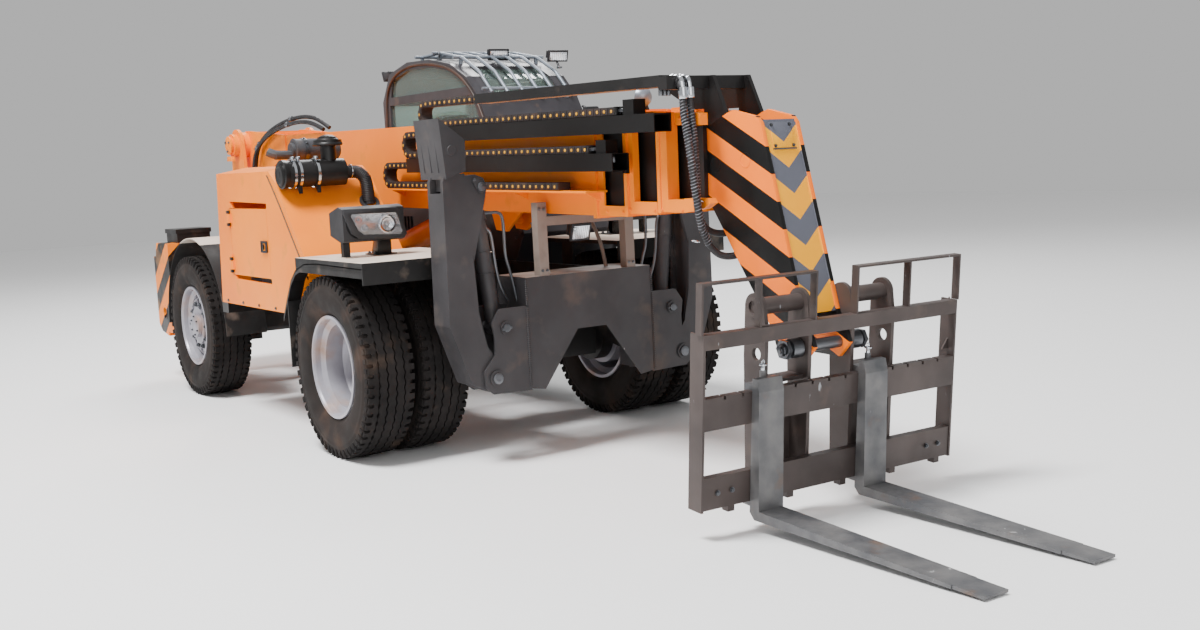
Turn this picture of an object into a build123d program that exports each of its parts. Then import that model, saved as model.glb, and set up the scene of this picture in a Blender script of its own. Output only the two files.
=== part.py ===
from build123d import *
import os
from math import asin, cos, degrees, hypot, radians, sin, tan

os.makedirs("parts", exist_ok=True)

# Telehandler with a four-section boom. Millimetres and degrees.
# Lengths run forward from the front axle, +Y is the machine's left and the ground is z = 0.

# ---------------------------------------------------------------- driving dimensions
front_axle_x = 99          # from the model's origin to the front axle
wheelbase = 3000
running_gap = 0.3          # between curved faces that turn or slide on each other
moving_gap = 6             # between pieces that pass each other

tyre_radius = 530
tyre_width = 300
axle_height = tyre_radius
bead_radius = 285.75
flange_radius = 298.5
rim_half = 114.3
rim_wall = 12.7
drop_radius = 252
hub_radius = 140.5
disc_thickness = 14
dual_spacing = 340
dual_middle_y = 918
rear_wheel_y = 943
kingpin_y = 700
spindle_radius = 60

frame_half = 330
frame_plate = 20
frame_low = 440
frame_high = 1000
frame_rear = -wheelbase - 900
frame_front = 876
front_plate_thick = 12

pivot_x = frame_rear + 50
boom_reach = 3850          # from the boom's pin to the mark that trays, chains and nose start from
mark_x = pivot_x + boom_reach
pivot_z = 1900
pivot_pin_radius = 55
boom_droop = 0.9
section_stroke = 3250
link_pitch = 62.5
link_height = 42
chain_radius = 62.5
chain_y = -320
chain_width = 76

rack_x = mark_x + 2770
rack_z = 765
rack_lean = 5


def planes_at(x, z, lean):
    """Workplanes of a frame at (x, z) that leans forward: lengthwise, crosswise and flat."""
    forward = Vector(cos(radians(lean)), 0, -sin(radians(lean)))
    upward = Vector(sin(radians(lean)), 0, cos(radians(lean)))
    origin = Vector(front_axle_x + x, 0, z)

    def side(y):
        return Plane(origin=origin + Vector(0, y, 0), x_dir=forward, z_dir=(0, -1, 0))

    def across(a):
        return Plane(origin=origin + forward * a, x_dir=(0, 1, 0), z_dir=forward)

    def level(b):
        return Plane(origin=origin + upward * b, x_dir=forward, z_dir=upward)

    return side, across, level


side, across, level = planes_at(0, 0, 0)
boom_side, boom_across, boom_level = planes_at(pivot_x, pivot_z, boom_droop)
rack_side, rack_across, rack_level = planes_at(rack_x, rack_z, rack_lean)
tip_side, tip_across, tip_level = planes_at(mark_x, 0, 0)


def block(x, y, z, mode=Mode.ADD):
    """A plate or bar between pairs of faces, in the workplane of the open part."""
    with Locations(((x[0] + x[1]) / 2, (y[0] + y[1]) / 2, (z[0] + z[1]) / 2)):
        Box(abs(x[1] - x[0]), abs(y[1] - y[0]), abs(z[1] - z[0]), mode=mode)


def plate(plane, thickness, points, holes=(), mode=Mode.ADD):
    """A flat plate centred on a plane, with round holes given as (x, y, radius)."""
    with BuildSketch(plane) as outline:
        with BuildLine():
            Polyline(*points, close=True)
        make_face()
        for hole_x, hole_y, radius in holes:
            with Locations((hole_x, hole_y)):
                Circle(radius, mode=Mode.SUBTRACT)
    extrude(outline.sketch, amount=thickness / 2, both=True, mode=mode)


def rod(plane, x, y, radius, length, bore=0, mode=Mode.ADD):
    """A round bar or tube centred on a plane and square to it."""
    with BuildSketch(plane) as outline:
        with Locations((x, y)):
            Circle(radius)
            if bore:
                Circle(bore, mode=Mode.SUBTRACT)
    extrude(outline.sketch, amount=length / 2, both=True, mode=mode)


def save(piece, name):
    piece.part.label = name
    export_step(piece.part, f"parts/{name}.step")


# ---------------------------------------------------------------- wheels
def wheel_plane(x, y):
    """The plane of a wheel's profile, from the wheel's middle."""
    return Plane(origin=(front_axle_x + x, y, axle_height), x_dir=(0, 1, 0), z_dir=(1, 0, 0))


def tyre(x, y):
    """One tyre, its bead resting on the rim's seat."""
    half = tyre_width / 2
    with BuildSketch(wheel_plane(x, y)) as outline:
        with BuildLine():
            Polyline((-rim_half + 1, bead_radius), (rim_half - 1, bead_radius),
                     (rim_half - 1, flange_radius + 4), (rim_half + 10, flange_radius + 12))
            ThreePointArc((rim_half + 10, flange_radius + 12), (half, 405), (half - 14, 508))
            Line((half - 14, 508), (half - 30, tyre_radius - 6))
            ThreePointArc((half - 30, tyre_radius - 6), (0, tyre_radius),
                          (30 - half, tyre_radius - 6))
            Line((30 - half, tyre_radius - 6), (14 - half, 508))
            ThreePointArc((14 - half, 508), (-half, 405), (-rim_half - 10, flange_radius + 12))
            Polyline((-rim_half - 10, flange_radius + 12), (-rim_half + 1, flange_radius + 4),
                     (-rim_half + 1, bead_radius))
        make_face()
    revolve(outline.sketch, axis=Axis((front_axle_x + x, 0, axle_height), (0, 1, 0)))


def rim(x, y, disc):
    """One rim. disc is the place of its mounting face, measured from the rim's middle."""
    seat = bead_radius - running_gap
    flange = rim_half + rim_wall
    inner = seat - 9
    inward = -1 if disc > 0 else 1
    root = -inward * 45
    with BuildSketch(wheel_plane(x, y)) as outline:
        with BuildLine():
            Polyline(
                (-flange, flange_radius), (-rim_half, flange_radius), (-rim_half, seat),
                (-78, seat - 3), (-58, drop_radius), (58, drop_radius), (78, seat - 3),
                (rim_half, seat), (rim_half, flange_radius), (flange, flange_radius),
                (flange, inner + 4), (rim_half, inner), (82, inner - 3), (62, drop_radius - 9),
                (-62, drop_radius - 9), (-82, inner - 3), (-rim_half, inner), (-flange, inner + 4),
                close=True)
        make_face()
        with BuildLine():
            Polyline(
                (root, drop_radius - 4), (disc, 205), (disc, hub_radius - 10),
                (disc + inward * disc_thickness, hub_radius - 10),
                (disc + inward * disc_thickness, 198),
                (root + inward * disc_thickness, drop_radius - 4), close=True)
        make_face()
    revolve(outline.sketch, axis=Axis((front_axle_x + x, 0, axle_height), (0, 1, 0)))


def axle_rod(x, y, radius, mode=Mode.ADD):
    """A round piece on a wheel's axis, between the pair of places y."""
    with BuildSketch(side(max(y))) as outline:
        with Locations((x, axle_height)):
            Circle(radius)
    extrude(outline.sketch, amount=abs(y[1] - y[0]), mode=mode)


def hand_holes(x, y, count, circle, radius):
    with BuildSketch(side(y + 60)) as outline:
        with Locations((x, axle_height)):
            with PolarLocations(circle, count):
                Circle(radius)
    extrude(outline.sketch, amount=120, mode=Mode.SUBTRACT)


hub_reach = 1036
hub_drum_radius = 200
hub_start = 640
rear_disc = 78
rear_hub_end = 1062
spindle_end = 880

for hand, sign in (("right", -1), ("left", 1)):
    with BuildPart() as front_tyres:
        for lane in (dual_middle_y - dual_spacing / 2, dual_middle_y + dual_spacing / 2):
            tyre(0, sign * lane)
    save(front_tyres, f"front_tyres_{hand}")

    with BuildPart() as front_rims:
        rim(0, sign * (dual_middle_y + dual_spacing / 2), -sign * dual_spacing / 2)
        rim(0, sign * (dual_middle_y - dual_spacing / 2), sign * dual_spacing / 2)
        axle_rod(0, (sign * hub_start, sign * 948), hub_radius)
        axle_rod(0, (sign * hub_start, sign * 770), hub_drum_radius)
        axle_rod(0, (sign * 940, sign * hub_reach), 112)
        hand_holes(0, sign * dual_middle_y, 8, 190, 24)
        axle_rod(0, (sign * (hub_start - 10), sign * spindle_end), spindle_radius + running_gap,
                 Mode.SUBTRACT)
    save(front_rims, f"front_rims_{hand}")

    with BuildPart() as rear_tyre:
        tyre(-wheelbase, sign * rear_wheel_y)
    save(rear_tyre, f"rear_tyre_{hand}")

    with BuildPart() as rear_rim:
        rim(-wheelbase, sign * rear_wheel_y, sign * rear_disc)
        axle_rod(-wheelbase, (sign * 796, sign * (rear_wheel_y + rear_disc + 14)), hub_radius)
        axle_rod(-wheelbase, (sign * 796, sign * 870), 190)
        axle_rod(-wheelbase, (sign * 1000, sign * rear_hub_end), 92)
        hand_holes(-wheelbase, sign * (rear_wheel_y + rear_disc), 8, 190, 24)
        axle_rod(-wheelbase, (sign * 780, sign * 990), spindle_radius + running_gap, Mode.SUBTRACT)
    save(rear_rim, f"rear_rim_{hand}")

# ---------------------------------------------------------------- axles and steering
kingpin_radius = 28
knuckle_half = 115
steer_arm_x = -180
steer_rod_z = 500
steer_rod_radius = 20

with BuildPart(level(0)) as front_axle:
    with BuildSketch(side(560)):
        with Locations((0, axle_height)):
            RectangleRounded(190, 220, 50)
    extrude(amount=1120)
    axle_rod(0, (-150, 150), 215)
    axle_rod(0, (-230, 230), 150)
    rod(across(-190), 0, axle_height, 60, 120)
    for sign in (-1, 1):
        axle_rod(0, (sign * 550, sign * (hub_start - moving_gap)), 170)
        axle_rod(0, (sign * 560, sign * (spindle_end - 10)), spindle_radius)
        block((-90, 90), (sign * 300, sign * 360), (axle_height, 660))
save(front_axle, "front_axle")

# The rear beam rocks on real machines; here it is fixed level.
steer_barrel_half = 260
yoke_half = 60
yoke_arm = 34
yoke_web = (560, 590)

with BuildPart(level(0)) as rear_axle:
    with BuildSketch(side(yoke_web[0])):
        with Locations((-wheelbase, axle_height)):
            RectangleRounded(170, 200, 45)
    extrude(amount=2 * yoke_web[0])
    axle_rod(-wheelbase, (-140, 140), 125)
    block((-wheelbase - 100, -wheelbase - 20), (-120, 120), (axle_height + 40, 660))
    for sign in (-1, 1):
        for low in (knuckle_half + running_gap, -knuckle_half - running_gap - yoke_arm):
            block((-wheelbase - yoke_half, -wheelbase + yoke_half), (sign * 560, sign * 752),
                  (axle_height + low, axle_height + low + yoke_arm))
        block((-wheelbase - yoke_half, -wheelbase + yoke_half),
              (sign * yoke_web[0], sign * yoke_web[1]),
              (axle_height - 145, axle_height + 145))
        block((-wheelbase + steer_arm_x, -wheelbase), (sign * 100, sign * 130),
              (steer_rod_z - 30, steer_rod_z + 30))
        rod(level(axle_height), -wheelbase, sign * kingpin_y, kingpin_radius + running_gap, 400,
            mode=Mode.SUBTRACT)
    rod(side(0), -wheelbase + steer_arm_x, steer_rod_z, 46, 2 * steer_barrel_half)
    rod(side(0), -wheelbase + steer_arm_x, steer_rod_z, steer_rod_radius + running_gap, 600,
        mode=Mode.SUBTRACT)
save(rear_axle, "rear_axle")

arm_tip_y = 655
arm_low = 425
arm_high = 451

with BuildPart(level(0)) as steering_rod:
    rod(side(0), -wheelbase + steer_arm_x, steer_rod_z, steer_rod_radius, 2 * arm_tip_y)
    for sign in (-1, 1):
        rod(level((arm_high + running_gap + steer_rod_z + 24) / 2), -wheelbase + steer_arm_x,
            sign * arm_tip_y, 26, steer_rod_z + 24 - arm_high - running_gap)
save(steering_rod, "steering_rod")

for hand, sign in (("right", -1), ("left", 1)):
    with BuildPart(level(0)) as knuckle:
        rod(level(axle_height), -wheelbase, sign * kingpin_y, 58, 2 * knuckle_half)
        rod(level(axle_height), -wheelbase, sign * kingpin_y, kingpin_radius,
            2 * (knuckle_half + yoke_arm + 4))
        axle_rod(-wheelbase, (sign * 700, sign * 770), 66)
        axle_rod(-wheelbase, (sign * 762, sign * 790), 105)
        axle_rod(-wheelbase, (sign * 780, sign * 984), spindle_radius)
        plate(level((arm_low + arm_high) / 2), arm_high - arm_low,
              [(-wheelbase + 30, sign * 672), (-wheelbase + 30, sign * 728),
               (-wheelbase + steer_arm_x, sign * (arm_tip_y + 28)),
               (-wheelbase + steer_arm_x - 24, sign * arm_tip_y),
               (-wheelbase + steer_arm_x, sign * (arm_tip_y - 28))])
    save(knuckle, f"knuckle_{hand}")

# ---------------------------------------------------------------- chassis
deck_z = 1016
box_half = 420
bracket_rear_x = 640
lift_base = (100 - wheelbase, 750)
lift_pin_radius = 35
outrigger_low = 700
outrigger_high = 780

with BuildPart(level(0)) as chassis_frame:
    for sign in (-1, 1):
        plate(side(sign * (frame_half - frame_plate / 2)), frame_plate,
              [(frame_rear, 520), (frame_rear, frame_high), (frame_front, frame_high),
               (frame_front, 560), (760, 520), (560, 560), (380, 660), (-380, 660), (-600, frame_low),
               (600 - wheelbase, frame_low), (380 - wheelbase, 660), (-wheelbase - 380, 660),
               (-wheelbase - 600, 520)],
              [(lift_base[0], lift_base[1], lift_pin_radius)])
        block((frame_rear + 156, frame_rear + 340), (sign * frame_half, sign * 520), (700, 1000))
        block((-2130, -2010), (sign * (frame_half - frame_plate), sign * 1120),
              (outrigger_low, outrigger_high))
        block((-800, -700), (sign * (frame_half - frame_plate), sign * 1120),
              (outrigger_low, outrigger_high))
    half = frame_half - frame_plate
    for x in (frame_rear + 20, 600 - wheelbase, -1250, -660, 420):
        block((x, x + 20), (-half, half), (max(frame_low, 470), 640))
    block((frame_rear, frame_rear + 20), (-half, half), (520, frame_high))
    block((frame_rear + 20, frame_rear + 260), (-half, half), (960, frame_high))
    rod(side(0), lift_base[0], lift_base[1], lift_pin_radius, 2 * frame_half + 40)
    block((-wheelbase - 110, -wheelbase - 10), (-half, half), (660, 700))
save(chassis_frame, "chassis_frame")

leg_pivot = (637, 486)
leg_pin_radius = 30
leg_eye = (663, 1527)
ram_base = (565, 756)
ram_pin_radius = 22
ram_x = 768
leg_x = (690, 870)

with BuildPart(level(0)) as front_frame:
    outline = [(-box_half, deck_z), (-box_half, 400), (-330, 386), (-98, 700), (98, 700),
               (330, 386), (box_half, 400), (box_half, deck_z)]
    plate(across(frame_front + front_plate_thick / 2), front_plate_thick, outline)
    block((560, frame_front), (-box_half, box_half), (frame_high, deck_z))
    block((560, 580), (frame_plate - frame_half, frame_half - frame_plate), (780, frame_high))
    for sign in (-1, 1):
        block((560, frame_front), (sign * (box_half - 14), sign * box_half), (400, frame_high))
        block((560, 580), (sign * frame_half, sign * box_half), (780, frame_high))
        for x in (bracket_rear_x + 10, frame_front + front_plate_thick / 2):
            thick = 20 if x < 700 else front_plate_thick
            with BuildSketch(across(x)):
                with BuildLine():
                    Polyline((sign * (box_half - 4), 392), (sign * 660, 400), (sign * 706, 440),
                             (sign * 712, 530), (sign * 640, 610), (sign * 636, 700), (sign * 650, 790),
                             (sign * 600, 862), (sign * (box_half - 4), 862), close=True)
                make_face()
                corners = [v for v in vertices() if abs(v.Y) > 500]
                fillet(corners, 24)
            extrude(amount=thick / 2, both=True)
        for y, z, radius in ((leg_pivot[0], leg_pivot[1], leg_pin_radius),
                             (ram_base[0], ram_base[1], ram_pin_radius)):
            rod(across((bracket_rear_x + frame_front + front_plate_thick) / 2), sign * y, z, radius,
                frame_front + front_plate_thick - bracket_rear_x + 24)
            plate(across(frame_front + front_plate_thick + 5), 10,
                  [(sign * (y - 34), z - 14), (sign * (y + 26), z - 30), (sign * (y + 34), z + 14),
                   (sign * (y - 26), z + 30)])
        rest_x = 850
        block((rest_x - 30, rest_x + 30), (sign * 262, sign * 322), (deck_z, 1420))
    block((rest_x - 25, rest_x + 25), (-262, 262), (1290, 1340))
save(front_frame, "front_frame")

# ---------------------------------------------------------------- boom sections
boom_half = 235
boom_top = 60
boom_low = -470
wall = 10
head_flange = 14
section_3_flange = 6

# name, tube rear, head rear, window start, front, half width, low, top, gap round it,
# head low, head top
sections = (
    ("boom_section_2", 550, 5475, 5540, 5733, 205, -440, 30, 20, -455, 50),
    ("boom_section_3", 750, 5745, 5824, 5960, 174, -409, -1, 23, -440, 38),
)
outer_rear = 300
outer_front = 5462
outer_window = 5273
window_low = -417
window_top = -25
tip_rear = 950
tip_front = 5980
tip_half = 143
tip_low = -378
tip_top = -32
tip_gap = 23
tube_wall = 8
pad_length = 100
pad_margin = 60


def tube_box(start, end, half, low, top, thick):
    block((start, end), (-half, half), (low, top))
    block((start - 1, end + 1), (thick - half, half - thick), (low + thick, top - thick),
          Mode.SUBTRACT)


def wear_pads(start, half, low, top, gap):
    """Pads on the outside of a tube's rear end, a running gap short of the tube round it."""
    reach = gap - running_gap
    span = (start, start + pad_length)
    block(span, (pad_margin - half, half - pad_margin), (low - reach, low))
    block(span, (pad_margin - half, half - pad_margin), (top, top + reach))
    for sign in (-1, 1):
        for middle in (low + 100, top - 100):
            block(span, (sign * half, sign * (half + reach)), (middle - 40, middle + 40))


def mouth_pads(start, half, low, top, gap):
    """Pads inside the mouth of the tube that holds a tube of this size."""
    reach = (pad_margin - half, half - pad_margin)
    span = (start - 60 - pad_length, start - 60)
    block(span, reach, (low - gap, low - running_gap))
    block(span, reach, (top + running_gap, top + gap))


def flange_ring(start, length, half, low, top, proud):
    """The thickened collar round a section's front end, standing proud of it."""
    block((start, start + length), (-half - proud, half + proud), (top - 2, top + proud))
    block((start, start + length), (-half - proud, half + proud), (low - proud, low + 2))
    for sign in (-1, 1):
        block((start, start + length), (sign * (half - 2), sign * (half + proud)), (low, top))


boss_radius = 105
boss_half = 292
lift_eye = (mark_x - 650, 1300)
lift_lug_gap = 56
droop = radians(boom_droop)
eye_dx, eye_dz = lift_eye[0] - pivot_x, lift_eye[1] - pivot_z
eye_u = eye_dx * cos(droop) - eye_dz * sin(droop)
eye_w = eye_dx * sin(droop) + eye_dz * cos(droop)
lift_eye_radius = 35
strip_top = -336.3
strip_rear = 2880
strip_front = 5300
chain_outer = chain_y - 49
chain_inner = chain_y + 49

with BuildPart(boom_level(0)) as boom_outer:
    tube_box(outer_rear, outer_front, boom_half, boom_low, boom_top, wall)
    for sign in (-1, 1):
        plate(boom_side(sign * (boom_half + 1)), 20,
              [(470, boom_low), (300, boom_low), (-60, -130), (-boss_radius, -20), (-90, 60), (0, 112),
               (90, 112), (880, boom_top), (880, -60), (470, -250)])
        plate(boom_side(sign * lift_lug_gap + sign * 12), 24,
              [(eye_u - 140, boom_low), (eye_u - 64, eye_w - 14), (eye_u - 40, eye_w - 56),
               (eye_u + 10, eye_w - 70), (eye_u + 56, eye_w - 46), (eye_u + 72, eye_w),
               (eye_u + 120, boom_low)])
        rod(boom_side(sign * (lift_lug_gap + 30)), eye_u, eye_w, lift_eye_radius, 16)
        plate(boom_side(sign * 70), 16,
              [(3790, boom_low), (3850, -600), (3980, -606), (4180, boom_low)])
    for u in (120, 330, 560, 790):
        crest = 112 - 52 * u / 880
        plate(boom_across(u), 12, [(-boom_half, 55), (boom_half, 55), (boom_half, crest),
                                   (-boom_half, crest)])
    rod(boom_side(0), 3915, -540, 30, 140)
    rod(boom_side(0), 0, 0, boss_radius, 2 * boss_half)
    block((outer_rear, outer_rear + 12), (-boom_half, boom_half), (boom_low, boom_top))
    rod(boom_side(0), 0, 0, pivot_pin_radius + running_gap, 800, mode=Mode.SUBTRACT)
    for sign in (-1, 1):
        block((outer_window, outer_front + 5), (sign * (boom_half - 20), sign * (boom_half + 5)),
              (window_low, window_top), Mode.SUBTRACT)
    flange_ring(outer_window - 85, 30, boom_half, boom_low, boom_top, head_flange)
    mouth_pads(outer_front, 205, -440, 30, 20)
    block((strip_rear, strip_front), (chain_outer, -boom_half + 2), (strip_top - 10, strip_top))
    for u in (strip_rear + 60, 3700, 4500, strip_front - 60):
        plate(boom_across(u), 8, [(-boom_half + 2, strip_top - 5), (chain_outer + 20, strip_top - 5),
                                  (-boom_half + 2, strip_top - 60)])
save(boom_outer, "boom_outer")

tray_a_low = -50
tray_a_high = 38
tray_b_low = -235
tray_b_high = -146
tray_half = chain_width / 2 + 11
beam_low = 157
beam_high = 211


def tray(x, low, high, cavity):
    """A chain tray that is also the hollow guide of the run below it."""
    block((boom_u(x[0]), boom_u(x[1])), (chain_y - tray_half, chain_y + tray_half), (low, high))
    if cavity:
        block((boom_u(x[0]) - 1, boom_u(x[1]) + 1), (chain_y - tray_half + 5, chain_y + tray_half - 5),
              cavity, Mode.SUBTRACT)


def section_2_bracket():
    for x in (1640, 1670):
        block((boom_u(x), boom_u(x) + 12), (-boom_half - head_flange + 2, chain_y + tray_half - 2),
              (-250, -150))
    tray((-600, 1700), tray_b_low, tray_b_high, (tray_b_low + 5, tray_b_high - 5))
    block((boom_u(1540), boom_u(1630)), (chain_y - 36, chain_y + 36), (tray_b_high, -78))


def section_3_head():
    """Side strips that run on past the tube's end, and the cover on top."""
    for sign in (-1, 1):
        plate(boom_side(sign * 212), 46,
              [(5950, -440), (6100, -416), (6150, -392), (6136, -368), (5950, -372)])
        plate(boom_side(sign * 212), 46, [(5950, -26), (6090, -28), (6090, 28), (5950, 36)])
    block((5760, 5835), (-150, 150), (36, 64))


def section_3_bracket():
    for x in (1920, 2030):
        block((boom_u(x), boom_u(x) + 12), (-boom_half + 2, chain_y + tray_half - 2), (-49, 40))
    tray((-350, 2060), tray_a_low, tray_a_high, (tray_a_low + 5, 30))
    block((boom_u(1790), boom_u(1880)), (chain_y - 36, chain_y + 36), (tray_a_high, 112))


# ---------------------------------------------------------------- energy chains
# name, lower run height, upper run height, front of the lower run, links in the upper run
chains = (
    ("a", 59, 184, 1730, 38),
    ("b", -125, 0, 1480, 31),
    ("c", -315, -190, 1175, 32),
)
fixed_links = 26
loop_links = 7
chain_back = 33 * link_pitch
notch = 6
link_gap = 3


def boom_u(x):
    """Place along the boom of a point x forward of the front axle."""
    return x + boom_reach


def notched_edge(start, height, count, step, depth):
    """The edge of a run of links, with a notch at each joint."""
    points = []
    for link in range(count):
        u = start + link * step
        lap = link_gap if step > 0 else -link_gap
        points += [(u + lap, height), (u + step - lap, height), (u + step, height + depth)]
    return points


inner_sizes = (sections[1][5:9], (tip_half, tip_low, tip_top, tip_gap))
for (name, rear, head, window, front, half, low, top, gap, head_low, head_top), inner in zip(
        sections, inner_sizes):
    with BuildPart(boom_level(0)) as section:
        block((rear, front), (-half, half), (low, top))
        block((head, front), (-boom_half, boom_half), (head_low, head_top))
        flange_ring(head, 25, boom_half, head_low, head_top,
                    head_flange if name == "boom_section_2" else section_3_flange)
        for sign in (-1, 1):
            block((window, front + 5), (sign * (half - 20), sign * (boom_half + 20)),
                  (head_low + 62, window_top + 2), Mode.SUBTRACT)
        block((rear - 1, front + 1), (tube_wall - half, half - tube_wall),
              (low + tube_wall, top - tube_wall), Mode.SUBTRACT)
        wear_pads(rear, half, low, top, gap)
        mouth_pads(front, *inner)
        if name == "boom_section_2":
            section_2_bracket()
        else:
            section_3_head()
            section_3_bracket()
    save(section, name)

# the tip section carries the nose, the upper chain beam and two hose brackets
nose_half = 118
nose_plate = 20
nose_gap = nose_half - nose_plate
fork_pin_radius = 28
bar_low = 142
bar_high = 205

with BuildPart(boom_level(0)) as boom_section_4:
    tube_box(tip_rear, tip_front, tip_half, tip_low, tip_top, tube_wall)
    wear_pads(tip_rear, tip_half, tip_low, tip_top, tip_gap)
    block((tip_front - 2, tip_front + 14), (-tip_half, tip_half), (tip_low - 6, tip_top + 8))
    for sign in (-1, 1):
        outline = [(2130, 1764), (2124, 1555), (2128, 1440), (2165, 1383), (2253, 1262), (2340, 1136),
                   (2555, 840), (2610, 700), (2770, 696), (2839, 765), (2800, 860), (2765, 900),
                   (2731, 1027), (2530, 1769), (2505, 1799), (2338, 1837), (2297, 1826)]
        plate(tip_side(sign * (nose_half - nose_plate / 2)), nose_plate, outline,
              [(rack_x - mark_x, rack_z, fork_pin_radius + running_gap)])
        plate(boom_side(sign * (nose_half - nose_plate / 2)), nose_plate,
              [(5671, 155), (5853, 66), (5885, 50), (5975, 50), (5980, -60), (6150, 0),
               (6045, bar_high), (5960, bar_high), (5900, 160)])
    for points in ([(2757, 908), (2729, 1020), (2519, 1783), (2507, 1780), (2717, 1017), (2745, 905)],
                   [(2349, 1140), (2563, 841), (2573, 847), (2359, 1146)]):
        plate(tip_side(0), 2 * nose_gap + 2, points)
    block((tip_front + 60, tip_front + 76), (-nose_gap - 1, nose_gap + 1), (-360, -20))
    block((5960, 6020), (chain_y - tray_half, nose_half), (bar_low, bar_high))
    rod(boom_across(5840), 150, 128, 38, 172)
    tray((330, 2112), beam_low, beam_high, (beam_low + 3, beam_high - 3))
save(boom_section_4, "boom_section_4")

for name, low, high, front, upper_links in chains:
    front_u = boom_u(front)
    back_u = front_u - chain_back
    seam = front_u - fixed_links * link_pitch
    half_height = link_height / 2
    with BuildPart() as chain_run:
        plate(boom_side(chain_y), chain_width,
              [(seam, low - half_height), (front_u, low - half_height), (front_u, low + half_height)]
              + notched_edge(front_u, low + half_height, fixed_links, -link_pitch, -notch)[:-1]
              + [(seam, low + half_height)])
    save(chain_run, f"chain_run_{name}")

    with BuildPart() as chain_loop:
        outer = chain_radius + half_height
        inner = chain_radius - half_height
        middle = (low + high) / 2
        seam_links = loop_links
        lower = notched_edge(back_u, low - half_height, seam_links, link_pitch, notch)[:-1]
        upper_front = back_u + upper_links * link_pitch
        upper = notched_edge(upper_front, high + half_height, upper_links, -link_pitch, -notch)[:-1]
        turn = [(back_u - outer * sin(radians(a)), middle + outer * cos(radians(a)))
                for a in range(12, 180, 24)]
        hollow = [(back_u - inner * sin(radians(a)), middle - inner * cos(radians(a)))
                  for a in range(12, 180, 24)]
        plate(boom_side(chain_y), chain_width - 2,
              lower + [(seam - 1, low - half_height), (seam - 1, low + half_height),
                       (back_u, low + half_height)]
              + hollow + [(back_u, high - half_height), (upper_front, high - half_height)]
              + upper + turn)
    save(chain_loop, f"chain_loop_{name}")

# ---------------------------------------------------------------- boom towers
tower_half = 330
tower_plate = 26
tower_round = 130
tower_rear = frame_rear - 100

with BuildPart(level(0)) as boom_towers:
    for sign in (-1, 1):
        with BuildSketch(side(sign * (tower_half - tower_plate / 2))) as outline:
            with BuildLine():
                Polyline((pivot_x - tower_round, pivot_z), (tower_rear, 1500), (tower_rear, 1130),
                         (frame_rear, 1130), (frame_rear, frame_high),
                         (frame_rear + 300, frame_high), (frame_rear + 260, 1250), (pivot_x + tower_round, pivot_z))
                ThreePointArc((pivot_x + tower_round, pivot_z), (pivot_x, pivot_z + tower_round),
                              (pivot_x - tower_round, pivot_z))
            make_face()
        extrude(outline.sketch, amount=tower_plate / 2, both=True)
        rod(side(sign * (tower_half + 18)), pivot_x, pivot_z, 92, 50)
        block((tower_rear, tower_rear + 20), (sign * 250, sign * tower_half), (1130, 1560))
    rod(side(0), pivot_x, pivot_z, pivot_pin_radius, 800)
    block((tower_rear, tower_rear + 20), (-tower_half, tower_half), (1130, 1330))
save(boom_towers, "boom_towers")

# ---------------------------------------------------------------- lift cylinder
lift_barrel_radius = 85
lift_rod_radius = 50
lift_eye_half = 50
lift_eye_outer = 60
lift_dx, lift_dz = lift_eye[0] - lift_base[0], lift_eye[1] - lift_base[1]
lift_closed = hypot(lift_dx, lift_dz)
lift_lean = -degrees(asin(lift_dz / lift_closed))
lift_barrel_end = 2166
ram_side, ram_across, ram_level = planes_at(lift_base[0], lift_base[1], lift_lean)

with BuildPart() as lift_barrel:
    rod(ram_side(0), 0, 0, 75, 2 * lift_eye_half + 20)
    with BuildSketch(ram_across(55)) as outline:
        Circle(lift_barrel_radius)
    extrude(outline.sketch, amount=lift_barrel_end - 55)
    for place, length, radius in ((lift_barrel_end - 90, 90, 96), (110, 60, 92)):
        with BuildSketch(ram_across(place)) as outline:
            Circle(radius)
        extrude(outline.sketch, amount=length)
    with BuildSketch(ram_across(160)) as outline:
        Circle(lift_rod_radius + running_gap)
    extrude(outline.sketch, amount=lift_barrel_end, mode=Mode.SUBTRACT)
    rod(ram_side(0), 0, 0, lift_pin_radius + running_gap, 200, mode=Mode.SUBTRACT)
save(lift_barrel, "lift_barrel")

with BuildPart() as lift_rod:
    with BuildSketch(ram_across(170)) as outline:
        Circle(lift_rod_radius)
    extrude(outline.sketch, amount=lift_closed - 170 - 40)
    rod(ram_side(0), lift_closed, 0, lift_eye_outer, 2 * lift_eye_half)
save(lift_rod, "lift_rod")

# ---------------------------------------------------------------- stabilisers
leg_eye_radius = 24
leg_eye_half = 35
ear_thick = 20
stab_barrel_radius = 45
stab_rod_radius = 28
stab_closed = hypot(leg_eye[0] - ram_base[0], leg_eye[1] - ram_base[1])
stab_barrel_end = 640
foot_pin = (818, 1690)
foot_pin_radius = 22
leg_outline = ((600, 430), (660, 408), (720, 440), (777, 462), (893, 790), (885, 1560), (870, 1600),
               (752, 1600), (712, 840), (672, 660), (600, 560))
foot_outline = ((900, 1893), (749, 1778), (755, 1613), (873, 1575))


def mirrored(points, sign):
    return [(sign * y, z) for y, z in points]


def stab_axis(sign):
    """Planes across the stabiliser cylinder's axis, from its base pin."""
    run = Vector(0, sign * (leg_eye[0] - ram_base[0]), leg_eye[1] - ram_base[1]).normalized()
    start = Vector(front_axle_x + ram_x, sign * ram_base[0], ram_base[1])

    def at(length):
        return Plane(origin=start + run * length, x_dir=(1, 0, 0), z_dir=run)

    return at


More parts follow.
